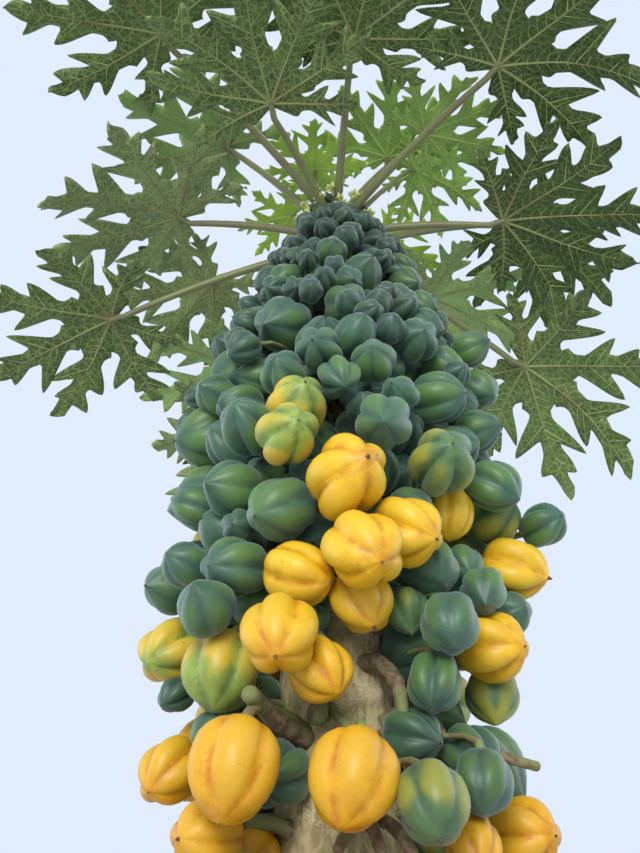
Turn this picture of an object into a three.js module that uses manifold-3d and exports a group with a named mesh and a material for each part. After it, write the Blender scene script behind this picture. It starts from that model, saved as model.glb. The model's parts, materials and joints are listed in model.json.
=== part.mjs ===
// A mountain papaya that stands in a plain clay pot: one straight trunk, a crown of deeply cut
// leaves on long stalks, and a dense column of five-ribbed fruit below the crown.
//
// Millimetres, +Z up. The origin is the middle of the pot's flat underside. An azimuth is in
// degrees round the trunk, 0 at the front (-Y) and rising toward +X, the viewer's right.
import * as THREE from 'three';
import { mergeVertices } from 'three/addons/utils/BufferGeometryUtils.js';
import Module from 'manifold-3d';

const wasm = await Module();
wasm.setup();

// Driving sizes of the pot, its soil and the trunk.
const POT = {
  height: 400, topRadius: 225, baseRadius: 162, rimDrop: 58, rimStep: 13, rimTaper: 4, wall: 16, floor: 24,
  sides: 32,
};
const SOIL = { top: 366, mound: 9, collar: 30 };
const TRUNK = {
  top: 2500, tip: 2528, footRadius: 74, neckRadius: 32, taperPower: 2.2, flare: 20, flareReach: 60, sides: 12,
};
const TRUNK_RINGS = { aboveFoot: [0, 30, 90], heights: [650, 1000, 1350, 1700, 2000, 2250, 2400] };
const SWAY = { amount: 7, wave: 1500 };
const CLEARANCE = 0.35;

// The fruit column: how far out the fruit tips reach at each height, and how wide the fruit are
// at each depth below the trunk's top.
const COLUMN_REACH = [
  [1090, 165], [1180, 200], [1300, 215], [1450, 212], [1540, 230], [1680, 255],
  [1760, 250], [1910, 232], [2150, 170], [2300, 130], [2400, 98], [2500, 70],
];
const FRUIT_WIDTH = [[0, 44], [120, 49], [200, 56], [300, 66], [400, 74], [600, 81], [1500, 82]];
const FRUIT = {
  lengthRatio: 1.3, topHeight: 2380, bottomHeight: 1120, crowding: 1.13, sizeSpread: 0.2,
  leastDroop: -8, droopSpread: 44, reachSpread: 22, yawSpread: 30, fromTrunk: 0.7,
};
const FRUIT_SEED = 7;

// Rings of a fruit as [share of its length, share of its width], and the balls that stand for it
// where fruit are tested against each other, as [share of its length from its middle, share of
// its width].
const FRUIT_RINGS = [[0.3, 0.98], [0.68, 0.92]];
const FRUIT_BALLS = [[-0.2, 0.44], [0, 0.5], [0.22, 0.38]];
const RIBS = 5;
const STALK = { radius: 5, sides: 3, sunk: 0.16, stemRadius: 11, knobRadius: 17, stemSides: 6, hubReach: 28 };
const SHOWN_PATCH = { azimuth: 2, halfWidth: 72, low: 1240, high: 1830 };
const SETTLE = { rounds: 60, share: 0.8, shownHold: 0.1, clearOfShown: 0.45, tip: 0.36, besideTrunk: 0.62 };
const AXILS = {
  count: 28, firstAzimuth: 40, top: 2350, bottom: 1165, gather: 1.04, roundWeight: 135, step: 12,
};
const RIPE_BELOW = 1560;
const FIT_SCALES = [1, 0.94, 0.87, 0.8];
const FIT_ROOM = 1.015;

// The fruit that face the front, as [azimuth, height, distance from the trunk's middle, width,
// droop below level, turn of the tip away from straight outward], angles in degrees.
const FRONT_FRUIT = [
  [-13, 1745, 200, 71, 5, 25], [-14, 1670, 225, 67, 20, 30], [2, 1610, 205, 85, 15, 15],
  [22, 1570, 190, 70, 40, 30], [5, 1520, 200, 77, 50, 25], [-16, 1540, 160, 67, 30, 85],
  [53, 1645, 170, 57, 70, 145], [35, 1665, 210, 73, 15, -25], [13, 1690, 220, 64, 40, -15],
  [39, 1795, 200, 63, 15, 20], [19, 1755, 215, 45, 20, -40], [9, 1755, 185, 41, 5, -20],
  [-30, 1715, 215, 62, -5, 10], [-19, 1605, 180, 70, 40, -30], [-37, 1560, 170, 65, 25, 0],
  [-39, 1645, 190, 66, 20, -10], [-37, 1600, 180, 38, 30, 25], [-8, 1830, 205, 57, 30, -5],
  [10, 1810, 210, 54, 20, -15], [31, 1890, 195, 61, 25, -15], [48, 1890, 190, 57, 45, 15],
  [57, 1940, 215, 56, 10, -5], [67, 1890, 210, 56, 50, -15], [60, 1790, 210, 55, 15, -5],
  [58, 1680, 220, 60, 45, 15], [78, 1680, 215, 63, 5, -45], [79, 1680, 255, 53, 10, -45],
  [80, 1625, 220, 71, 30, -10], [38, 1560, 155, 62, 60, 10], [59, 1595, 170, 49, 60, -45],
  [55, 1540, 190, 50, 60, -60], [-19, 1800, 205, 54, 10, 5], [-37, 1875, 210, 45, 40, -40],
  [0, 1775, 205, 51, 65, 25], [-82, 1600, 205, 60, 25, 40], [-52, 1565, 200, 51, 5, 15],
  [-43, 1490, 200, 57, -10, 30], [-83, 1515, 190, 69, 40, 40], [-52, 1455, 155, 76, 80, 15],
  [-17, 1440, 190, 72, 60, 15], [-9, 1430, 140, 59, 55, 70], [12, 1510, 140, 63, 70, 40],
  [30, 1515, 135, 47, 80, 0], [37, 1470, 185, 58, 70, -45], [65, 1485, 185, 69, 20, -20],
  [40, 1430, 150, 54, 75, -90], [81, 1460, 170, 59, 75, -90], [81, 1565, 205, 52, 15, -50],
  [-79, 1455, 180, 37, 45, 25], [-78, 1370, 175, 63, 45, 40], [-33, 1325, 180, 81, 80, -30],
  [2, 1310, 165, 76, 75, -60], [24, 1290, 180, 62, 65, -15], [44, 1320, 180, 52, 75, -80],
  [74, 1305, 180, 63, 15, -35], [-53, 1290, 155, 61, 20, 15], [49, 1280, 155, 50, 55, -50],
];

// Each leaf as [foot height, azimuth, rise of the stalk in degrees, stalk reach, blade radius,
// tilt of the blade below level, turn of the blade from the stalk's azimuth, how far its lobes spread].
const LEAVES = {
  leaf_front: [2468, 5, 11, 300, 270, 8, 7, 0.9],
  leaf_front_left: [2442, -26, 6, 233, 270, 4, 14, 0.8],
  leaf_left_high: [2476, -44, 12, 422, 275, 12, 11, 1],
  leaf_left_inner: [2456, -71, 41, 263, 235, 6, 14, 1],
  leaf_left: [2420, -89, 12, 278, 265, 14, 27, 0.94],
  leaf_left_low: [2378, -101, -16, 403, 250, 16, -7, 1],
  leaf_left_back: [2356, -125, 31, 331, 225, 12, -11, 1],
  leaf_front_right: [2452, 42, 3, 373, 270, 10, 0, 0.92],
  leaf_right: [2426, 83, -3, 278, 275, 12, -9, 0.74],
  leaf_right_high: [2396, 101, 26, 388, 250, 16, 12, 1],
  leaf_right_low: [2352, 116, -17, 377, 275, 30, -5, 1],
  leaf_right_back: [2402, 136, 23, 282, 235, 16, -31, 1],
  leaf_back_right: [2452, 160, 20, 360, 250, 14, 0, 1],
  leaf_back: [2414, 184, -2, 400, 250, 20, 0, 1],
  leaf_back_left: [2446, -150, 2, 380, 245, 18, 0, 1],
  leaf_back_low: [2320, -165, -24, 300, 215, 44, 12, 1],
  leaf_hanging_left: [2300, -139, -34, 300, 200, 46, 10, 1],
  young_leaf_right: [2510, 72, 61, 173, 205, 2, -70, 0.86],
  young_leaf_outer: [2480, 53, 26, 205, 165, 4, 7, 0.9],
  young_leaf_low: [2470, 83, 50, 211, 155, 10, 25, 1],
  young_leaf_back: [2478, 150, 50, 260, 180, 10, 0, 1],
  young_leaf_left: [2498, -134, 56, 167, 120, 8, 39, 1],
  young_leaf_centre: [2516, -66, 85, 126, 140, 6, 62, 1],
  young_leaf_inner: [2514, -151, 79, 195, 100, 8, 116, 1],
};
const YOUNG = 'young';
const PETIOLE = {
  footRadius: 10, endRadius: 5, sides: 5, steps: 4, arch: 0.09, inset: 0.4, fullFromBlade: 220,
};
const BLADE = {
  thickness: 0.022, heartSwell: 1.3, droop: 0.2, fold: 0.16, sinus: 0.37, sinusFold: 0.3, backBay: 24,
};
const SEAT = { behind: 0.05, below: 0.016, lead: 0.04, dip: 0.022, into: 0.004 };
const LOBES = [[-128, 0.56], [-84, 0.8], [-41, 0.94], [0, 1], [41, 0.94], [84, 0.8], [128, 0.56]];
const FULL_LOBE = { waist: [0.43, 0.115], sideTip: [0.62, 0.25], notch: [0.68, 0.13], ribs: [0.4, 0.68] };
const SMALL_LOBE = { sideTip: [0.66, 0.2], ribs: [0.58] };
const SMALL_LOBE_FROM = 120;

// Old fruit stalks that stay on the trunk, as paths of [azimuth, distance, height] and radii.
const OLD_STALK_SIDES = 6;
const OLD_STALKS = {
  old_stalk_left: {
    path: [[-33, 60, 1398], [-34, 92, 1398], [-33, 130, 1401], [-30, 172, 1398]], radii: [12, 11, 10, 9],
  },
  old_stalk_right: {
    path: [[27, 60, 1482], [30, 88, 1472], [34, 108, 1440], [33, 116, 1402]], radii: [10, 9, 8, 6],
  },
  old_stalk_low: {
    path: [[62, 60, 1392], [60, 110, 1388], [66, 160, 1378], [72, 205, 1366]], radii: [10, 8, 6, 5],
  },
};

const DEGREE = Math.PI / 180;
const CIRCLE = 360;
const GOLDEN_TURN = 137.508;
const RANDOM = { factor: 1664525, step: 1013904223, range: 2 ** 32 };
const UP = new THREE.Vector3(0, 0, 1);

// A number that follows a table of [place, value] rows, straight from row to row.
function along(table, place) {
  const next = table.findIndex(([row]) => row >= place);
  if (next === 0) return table[0][1];
  if (next < 0) return table[table.length - 1][1];
  const [[low, from], [high, to]] = [table[next - 1], table[next]];
  return from + ((to - from) * (place - low)) / (high - low);
}

// Seeded numbers from 0 to 1: the same row of numbers on every run.
function seededNumbers(seed) {
  let state = seed;
  return () => {
    state = (Math.imul(state, RANDOM.factor) + RANDOM.step) >>> 0;
    return state / RANDOM.range;
  };
}

function outward(azimuth) {
  return new THREE.Vector3(Math.sin(azimuth * DEGREE), -Math.cos(azimuth * DEGREE), 0);
}

// The trunk sways a few millimetres on its way up, and not at all where it enters the soil.
function trunkMiddle(height) {
  const phase = (2 * Math.PI * (height - SOIL.top)) / SWAY.wave;
  return new THREE.Vector3(SWAY.amount * Math.sin(phase), SWAY.amount * (1 - Math.cos(phase)) / 2, height);
}

function trunkRadius(height) {
  const climbed = Math.min(1, (height - SOIL.top) / (TRUNK.top - SOIL.top));
  const taper = TRUNK.neckRadius + (TRUNK.footRadius - TRUNK.neckRadius) * (1 - climbed ** TRUNK.taperPower);
  return taper + TRUNK.flare * Math.exp(-(height - SOIL.top) / TRUNK.flareReach);
}

function aroundTrunk(azimuth, distance, height) {
  return trunkMiddle(height).addScaledVector(outward(azimuth), distance);
}

// Solids from points and triangles.
function solid(points, faces) {
  const mesh = new wasm.Mesh({
    numProp: 3,
    vertProperties: Float32Array.from(points.flatMap((point) => point.toArray())),
    triVerts: Uint32Array.from(faces.flat()),
  });
  return new wasm.Manifold(mesh);
}

// A ring of points round a centre, counter-clockwise about its direction.
function ring(centre, direction, radius, sides, reference = UP) {
  const axis = direction.clone().normalize();
  const first = reference.clone().addScaledVector(axis, -reference.dot(axis)).normalize();
  const second = axis.clone().cross(first);
  return Array.from({ length: sides }, (unused, side) => {
    const angle = (2 * Math.PI * side) / sides;
    return centre.clone()
      .addScaledVector(first, radius * Math.cos(angle))
      .addScaledVector(second, radius * Math.sin(angle));
  });
}

// One closed solid over a row of rings, closed by a fan to a point at each end.
function loft(startPoint, rings, endPoint) {
  const sides = rings[0].length;
  const points = [startPoint, ...rings.flat(), endPoint];
  const end = points.length - 1;
  const at = (row, side) => 1 + row * sides + (side % sides);
  const faces = [];
  for (let side = 0; side < sides; side += 1) {
    faces.push([0, at(0, side + 1), at(0, side)]);
    for (let row = 0; row + 1 < rings.length; row += 1) {
      faces.push([at(row, side), at(row, side + 1), at(row + 1, side + 1)]);
      faces.push([at(row, side), at(row + 1, side + 1), at(row + 1, side)]);
    }
    faces.push([end, at(rings.length - 1, side), at(rings.length - 1, side + 1)]);
  }
  return solid(points, faces);
}

// A tapering limb along points, one radius a point.
function limb(path, radii, sides, reference = UP, endPoint = path[path.length - 1]) {
  const rings = path.map((point, index) => {
    const before = path[Math.max(0, index - 1)];
    const after = path[Math.min(path.length - 1, index + 1)];
    return ring(point, after.clone().sub(before), radii[index], sides, reference);
  });
  return loft(path[0], rings, endPoint);
}

// The largest body of a solid: a loose scrap that a cut leaves is dropped.
function mainBody(whole) {
  return whole.decompose().sort((a, b) => b.volume() - a.volume())[0];
}

function geometryOf(whole) {
  const mesh = whole.getMesh();
  const geometry = new THREE.BufferGeometry();
  geometry.setAttribute('position', new THREE.BufferAttribute(Float32Array.from(mesh.vertProperties), 3));
  geometry.setIndex(Array.from(mesh.triVerts));
  return mergeVertices(geometry);
}

// The trunk: a loft from its flat cut on the soil to the blunt growing tip.
function trunkSolid(extra) {
  const foot = SOIL.top + SOIL.mound + CLEARANCE;
  const heights = [...TRUNK_RINGS.aboveFoot.map((rise) => foot + rise), ...TRUNK_RINGS.heights, TRUNK.top];
  const rings = heights.map((height) =>
    ring(trunkMiddle(height), UP, trunkRadius(height) + extra, TRUNK.sides, outward(0)));
  return loft(trunkMiddle(foot), rings, trunkMiddle(TRUNK.tip).addScaledVector(UP, extra));
}

// The pot's wall and floor as one turned profile, and the soil that fills it.
function radiusInPot(height) {
  return POT.baseRadius + ((POT.topRadius - POT.rimStep - POT.baseRadius) * height) / POT.height;
}

function potGeometry() {
  const rimFoot = POT.height - POT.rimDrop;
  const profile = [
    [0, 0], [POT.baseRadius, 0], [radiusInPot(rimFoot), rimFoot], [POT.topRadius - POT.rimTaper, rimFoot],
    [POT.topRadius, POT.height], [POT.topRadius - POT.rimStep - POT.wall, POT.height],
    [radiusInPot(POT.floor) - POT.wall, POT.floor], [0, POT.floor],
  ];
  return turned(profile);
}

function innerRadius(height) {
  const top = POT.topRadius - POT.rimStep - POT.wall;
  const bottom = radiusInPot(POT.floor) - POT.wall;
  return bottom + ((top - bottom) * (height - POT.floor)) / (POT.height - POT.floor) - 2 * CLEARANCE;
}

function soilGeometry() {
  const bottom = POT.floor + CLEARANCE;
  const middle = TRUNK.footRadius + TRUNK.flare + SOIL.collar;
  return turned([
    [0, bottom], [innerRadius(bottom), bottom], [innerRadius(SOIL.top), SOIL.top],
    [middle, SOIL.top + SOIL.mound], [0, SOIL.top + SOIL.mound],
  ]);
}

function turned(profile) {
  const points = profile.map(([radius, height]) => new THREE.Vector2(radius, height));
  return new THREE.LatheGeometry(points, POT.sides).rotateX(Math.PI / 2);
}

// Fruit places. The fruit in view come first, then a golden-angle spiral fills the rest of the
// column, and all of them push each other apart as ripening fruit do.
function fruitAt(azimuth, height, distance, width, droop, yaw, hold) {
  return {
    middle: aroundTrunk(azimuth, distance, height),
    width,
    length: width * FRUIT.lengthRatio,
    droop,
    yaw,
    hold,
  };
}

function azimuthOf(point) {
  const centre = trunkMiddle(point.z);
  return Math.atan2(point.x - centre.x, centre.y - point.y) / DEGREE;
}

function fruitAxis(fruit) {
  const level = outward(azimuthOf(fruit.middle) + fruit.yaw).multiplyScalar(Math.cos(fruit.droop * DEGREE));
  return level.addScaledVector(UP, -Math.sin(fruit.droop * DEGREE));
}

function turnBetween(one, other) {
  return Math.abs(((one - other + CIRCLE * 1.5) % CIRCLE) - CIRCLE / 2);
}

function inShownPatch(azimuth, height) {
  const near = turnBetween(azimuth, SHOWN_PATCH.azimuth) < SHOWN_PATCH.halfWidth;
  return near && height > SHOWN_PATCH.low && height < SHOWN_PATCH.high;
}

function spiralFruit() {
  const random = seededNumbers(FRUIT_SEED);
  const placed = [];
  let height = FRUIT.topHeight;
  let azimuth = 0;
  while (height > FRUIT.bottomHeight) {
    const [sizeDraw, reachDraw, droopDraw, yawDraw] = [random(), random(), random(), random()];
    const width = along(FRUIT_WIDTH, TRUNK.top - height) * (1 + FRUIT.sizeSpread * (sizeDraw - 0.5));
    const droop = FRUIT.leastDroop + FRUIT.droopSpread * droopDraw;
    const halfLength = (width * FRUIT.lengthRatio) / 2;
    const reach = along(COLUMN_REACH, height) - halfLength - FRUIT.reachSpread * reachDraw;
    const distance = Math.max(reach, trunkRadius(height) + width * FRUIT.fromTrunk);
    const yaw = FRUIT.yawSpread * (yawDraw - 0.5);
    if (!inShownPatch(azimuth, height)) placed.push(fruitAt(azimuth, height, distance, width, droop, yaw, 1));
    azimuth = (azimuth + GOLDEN_TURN) % CIRCLE;
    height -= (FRUIT.crowding * width * width) / (2 * Math.PI * distance);
  }
  return placed;
}

function ballsOf(fruit) {
  const axis = fruitAxis(fruit);
  return FRUIT_BALLS.map(([shift, size]) => ({
    centre: fruit.middle.clone().addScaledVector(axis, shift * fruit.length), radius: size * fruit.width,
  }));
}

// How far two fruit press into each other, as the vector that would part them.
function pressure(one, other) {
  const push = new THREE.Vector3();
  if (one.middle.distanceTo(other.middle) > (one.length + other.length) / 2) return push;
  for (const mine of ballsOf(one)) {
    for (const theirs of ballsOf(other)) {
      const between = mine.centre.clone().sub(theirs.centre);
      const depth = mine.radius + theirs.radius - between.length();
      if (depth > push.length()) push.copy(between.setLength(depth));
    }
  }
  return push;
}

function keepInColumn(fruit) {
  const centre = trunkMiddle(fruit.middle.z);
  const level = fruit.middle.clone().sub(centre);
  const furthest = along(COLUMN_REACH, fruit.middle.z) - SETTLE.tip * fruit.length;
  const nearest = trunkRadius(fruit.middle.z) + SETTLE.besideTrunk * fruit.width;
  level.setLength(Math.max(nearest, Math.min(furthest, level.length())));
  fruit.middle.copy(centre.add(level));
}

function settle(fruits) {
  for (let round = 0; round < SETTLE.rounds; round += 1) {
    for (let first = 0; first < fruits.length; first += 1) {
      for (let second = first + 1; second < fruits.length; second += 1) {
        const push = pressure(fruits[first], fruits[second]);
        const share = fruits[first].hold / (fruits[first].hold + fruits[second].hold);
        fruits[first].middle.addScaledVector(push, SETTLE.share * share);
        fruits[second].middle.addScaledVector(push, -SETTLE.share * (1 - share));
      }
    }
    fruits.filter(({ hold }) => hold !== SETTLE.shownHold).forEach(keepInColumn);
  }
}

function allFruit() {
  const shown = FRONT_FRUIT.map((row) => fruitAt(...row, SETTLE.shownHold));
  const clear = (fruit) => shown.every((other) =>
    fruit.middle.distanceTo(other.middle) > SETTLE.clearOfShown * (fruit.width + other.width));
  const fruits = [...shown, ...spiralFruit().filter(clear)];
  settle(fruits);
  return fruits;
}

// One fruit on its stalk: five ribs, widest near the stalk, and a blunt point at the tip.
function fruitSolid(fruit, hub, scale) {
  const axis = fruitAxis(fruit);
  const base = fruit.middle.clone().addScaledVector(axis, -fruit.length / 2);
  const alongAxis = (share) => base.clone().addScaledVector(axis, share * scale * fruit.length);
  const rings = FRUIT_RINGS.map(([share, size]) =>
    ring(alongAxis(share), axis, (size * scale * fruit.width) / 2, RIBS));
  const body = loft(base, rings, alongAxis(1));
  const inside = alongAxis(STALK.sunk);
  return body.add(limb([hub, inside], [STALK.radius, STALK.radius], STALK.sides));
}

// The short stem of a bunch leaves the trunk and swells to a knob, where all its stalks begin.
function stemSolid(axil, hub) {
  const level = outward(axil.azimuth);
  const root = hub.clone().addScaledVector(level, -2 * STALK.hubReach);
  const neck = hub.clone().addScaledVector(level, -STALK.knobRadius);
  const end = hub.clone().addScaledVector(level, STALK.knobRadius);
  const radii = [STALK.stemRadius, STALK.stemRadius, STALK.knobRadius];
  return limb([root, neck, hub], radii, STALK.stemSides, UP, end);
}

function boxesMeet(one, other) {
  return [0, 1, 2].every((side) => one.min[side] < other.max[side] && other.min[side] < one.max[side]);
}

function meets(one, others) {
  const box = one.boundingBox();
  return others.some((other) => boxesMeet(box, other.boundingBox()) && !one.intersect(other).isEmpty());
}

// Each bunch grows from one axil, and its fruit are those nearest to that axil. A stem that
// would meet a leaf stalk moves up the trunk, and a fruit that would meet a leaf or another
// bunch is made smaller, or left out.
function axils() {
  return Array.from({ length: AXILS.count }, (unused, index) => {
    const share = (index / (AXILS.count - 1)) ** AXILS.gather;
    const height = AXILS.top + (AXILS.bottom - AXILS.top) * share;
    return { azimuth: (AXILS.firstAzimuth + index * GOLDEN_TURN) % CIRCLE, height, fruits: [] };
  });
}

function nearestAxil(fruit, list) {
  const azimuth = azimuthOf(fruit.middle);
  const distance = ({ azimuth: other, height }) =>
    Math.hypot(turnBetween(azimuth, other) * DEGREE * AXILS.roundWeight, fruit.middle.z - height);
  return list.reduce((best, axil) => (distance(axil) < distance(best) ? axil : best));
}

function bunchPieces(axil, neighbours) {
  const hubAt = (height) => aroundTrunk(axil.azimuth, trunkRadius(height) + STALK.hubReach, height);
  let height = axil.height;
  while (meets(stemSolid(axil, hubAt(height)), neighbours)) height += AXILS.step;
  const hub = hubAt(height);
  const pieces = [stemSolid(axil, hub)];
  for (const fruit of axil.fruits) {
    const fits = FIT_SCALES.find((scale) => !meets(fruitSolid(fruit, hub, scale * FIT_ROOM), neighbours));
    if (fits) pieces.push(fruitSolid(fruit, hub, fits));
  }
  return pieces;
}

function bunchSolids(trunkSpace, others) {
  const list = axils();
  allFruit().forEach((fruit) => nearestAxil(fruit, list).fruits.push(fruit));
  const taken = [...others];
  return list.map((axil) => {
    const pieces = bunchPieces(axil, taken);
    taken.push(...pieces);
    const whole = mainBody(wasm.Manifold.union(pieces).subtract(trunkSpace));
    return { whole, ripe: axil.height < RIPE_BELOW };
  });
}

// Leaves. A blade is laid out in its own plane: x along the middle rib, y across, z the upper face.
function lobeDirection(angle) {
  return new THREE.Vector2(Math.cos(angle * DEGREE), Math.sin(angle * DEGREE));
}

// The blade bends down toward its rim, and each lobe is folded up along its rib.
function bladePoint(flat, foldWidth, radius) {
  const out = flat.length() / radius;
  return new THREE.Vector3(flat.x, flat.y, -BLADE.droop * radius * out * out + BLADE.fold * foldWidth);
}

function bladeSolid(radius, spread) {
  const points = [];
  const add = (point) => points.push(point) - 1;
  const doubled = (point, half) => [
    add(point.clone().addScaledVector(UP, half)), add(point.clone().addScaledVector(UP, -half)),
  ];
  const half = (BLADE.thickness * radius) / 2;
  const onRim = (flat, foldWidth) => {
    const index = add(bladePoint(flat, foldWidth, radius));
    return [index, index];
  };
  const heart = doubled(new THREE.Vector3(), half * BLADE.heartSwell);
  const inLobe = ([angle, share], place, across) => {
    const direction = lobeDirection(angle * spread);
    const aside = new THREE.Vector2(-direction.y, direction.x);
    return direction.multiplyScalar(place * share * radius).addScaledVector(aside, across * share * radius);
  };
  const sinusAt = (index) => {
    const [before, after] = [LOBES[index - 1], LOBES[index]];
    const outer = before ?? after;
    const edge = after ?? before;
    const angle = before && after ? (before[0] + after[0]) / 2 : edge[0] + Math.sign(edge[0]) * BLADE.backBay;
    const reach = BLADE.sinus * radius * ((outer[1] + edge[1]) / 2);
    return onRim(lobeDirection(angle * spread).multiplyScalar(reach), reach * BLADE.sinusFold);
  };
  const sinuses = Array.from({ length: LOBES.length + 1 }, (unused, index) => sinusAt(index));
  const faces = [];
  const sheet = (a, b, c) => faces.push([a[0], b[0], c[0]], [a[1], c[1], b[1]]);
  LOBES.forEach((lobe, index) => {
    const small = Math.abs(lobe[0]) > SMALL_LOBE_FROM;
    const shape = small ? SMALL_LOBE : FULL_LOBE;
    const ribs = shape.ribs.map((place) => doubled(bladePoint(inLobe(lobe, place, 0), 0, radius), half));
    const tip = onRim(inLobe(lobe, 1, 0), 0);
    for (const side of [-1, 1]) {
      const rim = ([place, across]) => onRim(inLobe(lobe, place, side * across), across * lobe[1] * radius);
      const sinus = sinuses[side < 0 ? index : index + 1];
      const turn = (a, b, c) => (side > 0 ? sheet(a, b, c) : sheet(a, c, b));
      const sideTip = rim(shape.sideTip);
      if (small) {
        turn(heart, sideTip, sinus);
        turn(heart, ribs[0], sideTip);
        turn(ribs[0], tip, sideTip);
      } else {
        const waist = rim(shape.waist);
        const notch = rim(shape.notch);
        turn(heart, waist, sinus);
        turn(heart, ribs[0], waist);
        turn(ribs[0], sideTip, waist);
        turn(ribs[0], ribs[1], sideTip);
        turn(ribs[1], notch, sideTip);
        turn(ribs[1], tip, notch);
      }
    }
  });
  // The last fan closes the bay behind the stalk.
  sheet(heart, sinuses[LOBES.length], sinuses[0]);
  return solid(points, faces);
}

function leafSolid([footHeight, azimuth, rise, reach, radius, tilt, turn, spread], trunkSpace) {
  const foot = aroundTrunk(azimuth, trunkRadius(footHeight) * PETIOLE.inset, footHeight);
  const start = aroundTrunk(azimuth, trunkRadius(footHeight), footHeight);
  const joint = start.clone()
    .addScaledVector(outward(azimuth), reach * Math.cos(rise * DEGREE))
    .addScaledVector(UP, reach * Math.sin(rise * DEGREE));
  const middleRib = outward(azimuth + turn).multiplyScalar(Math.cos(tilt * DEGREE))
    .addScaledVector(UP, -Math.sin(tilt * DEGREE));
  const across = UP.clone().cross(middleRib).normalize();
  const upper = middleRib.clone().cross(across);
  const place = new THREE.Matrix4().makeBasis(middleRib, across, upper).setPosition(joint);
  const blade = bladeSolid(radius, spread).transform(place.elements);

  // The stalk arches up to the blade's heart and enters it from below, just behind the ribs.
  const fromJoint = (behind, below) => joint.clone()
    .addScaledVector(middleRib, -behind * radius)
    .addScaledVector(upper, -below * radius);
  const last = fromJoint(SEAT.behind, SEAT.below);
  const bend = fromJoint(SEAT.behind + SEAT.lead, SEAT.below + SEAT.dip);
  const arch = start.clone().lerp(bend, 0.5).addScaledVector(UP, PETIOLE.arch * reach);
  const path = [foot, ...new THREE.QuadraticBezierCurve3(start, arch, bend).getPoints(PETIOLE.steps), last];
  const radii = path.map((point, index) => THREE.MathUtils.lerp(
    PETIOLE.footRadius, PETIOLE.endRadius, index / (path.length - 1),
  ) * Math.min(1, radius / PETIOLE.fullFromBlade));
  const end = fromJoint(SEAT.behind, -SEAT.into);
  const stalk = limb(path, radii, PETIOLE.sides, outward(azimuth + 90), end);
  return mainBody(stalk.add(blade).subtract(trunkSpace));
}

// Materials, one for each kind of surface.
const standard = (color, roughness) => new THREE.MeshStandardMaterial({ color, roughness, metalness: 0 });
const MATERIALS = {
  bark: standard(0x7d7466, 0.9),
  leaf: standard(0x4f6f2c, 0.6),
  youngLeaf: standard(0x8fb53a, 0.55),
  greenFruit: standard(0x3f7353, 0.5),
  ripeFruit: standard(0xe9a92e, 0.45),
  woodyStalk: standard(0x6b5640, 0.85),
  clay: standard(0xa8623f, 0.85),
  soil: standard(0x3b2d22, 1),
};

function named(name, geometry, material) {
  const mesh = new THREE.Mesh(geometry, material);
  mesh.name = name;
  return mesh;
}

function papaya() {
  const plant = new THREE.Group();
  plant.name = 'potted_mountain_papaya';
  plant.add(named('pot', potGeometry(), MATERIALS.clay));
  plant.add(named('soil', soilGeometry(), MATERIALS.soil));
  plant.add(named('trunk', geometryOf(trunkSolid(0)), MATERIALS.bark));

  const trunkSpace = trunkSolid(CLEARANCE);
  const taken = [];
  const addSolid = (name, whole, material) => {
    taken.push(whole);
    plant.add(named(name, geometryOf(whole), material));
  };
  for (const [name, sizes] of Object.entries(LEAVES)) {
    const material = name.startsWith(YOUNG) ? MATERIALS.youngLeaf : MATERIALS.leaf;
    addSolid(name, leafSolid(sizes, trunkSpace), material);
  }
  for (const [name, { path, radii }] of Object.entries(OLD_STALKS)) {
    const points = path.map(([azimuth, distance, height]) => aroundTrunk(azimuth, distance, height));
    addSolid(name, mainBody(limb(points, radii, OLD_STALK_SIDES).subtract(trunkSpace)), MATERIALS.woodyStalk);
  }
  bunchSolids(trunkSpace, taken).forEach(({ whole, ripe }, index) => {
    const name = `fruit_bunch_${String(index + 1).padStart(2, '0')}`;
    addSolid(name, whole, ripe ? MATERIALS.ripeFruit : MATERIALS.greenFruit);
  });
  return plant;
}

export default papaya();
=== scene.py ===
# %% [markdown]
# # A potted mountain papaya
# This lesson dresses a plain solid model of a fruiting papaya. The solids say where the trunk,
# leaves and fruit are. Each step makes one part of the plant fine enough to look at closely, in
# the same place and to the same size.

# %% Load the solids
import json
from math import atan2, cos, dist, exp, hypot, pi, sin, sqrt

import bmesh
import bpy
import numpy as np
from mathutils import Matrix, Vector

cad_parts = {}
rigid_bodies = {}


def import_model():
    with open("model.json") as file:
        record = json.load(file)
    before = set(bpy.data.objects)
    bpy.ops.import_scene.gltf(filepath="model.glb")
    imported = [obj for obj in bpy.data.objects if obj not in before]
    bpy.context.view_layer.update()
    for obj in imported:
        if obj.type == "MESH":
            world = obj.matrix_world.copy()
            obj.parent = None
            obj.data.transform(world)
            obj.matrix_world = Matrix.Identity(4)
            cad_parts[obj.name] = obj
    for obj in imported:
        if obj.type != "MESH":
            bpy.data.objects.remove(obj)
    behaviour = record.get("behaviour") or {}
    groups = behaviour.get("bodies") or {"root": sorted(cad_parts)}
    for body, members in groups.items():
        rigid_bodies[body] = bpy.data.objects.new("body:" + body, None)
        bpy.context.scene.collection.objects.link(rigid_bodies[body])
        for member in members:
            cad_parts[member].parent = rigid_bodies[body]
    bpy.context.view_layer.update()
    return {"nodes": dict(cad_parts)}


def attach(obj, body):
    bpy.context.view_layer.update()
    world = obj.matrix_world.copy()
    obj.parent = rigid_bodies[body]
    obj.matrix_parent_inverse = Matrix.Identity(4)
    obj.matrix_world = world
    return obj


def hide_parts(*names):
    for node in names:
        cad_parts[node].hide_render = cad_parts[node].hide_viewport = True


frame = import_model()
NODES = list(frame["nodes"])
MM = 0.001
DEGREE = pi / 180

# %% [markdown]
# ## Camera
# The fruit is seen from close to the trunk, with the camera tipped 45 degrees up. Three numbers
# hold that view: where the camera stands, how far it tips and how long its lens is.

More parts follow.
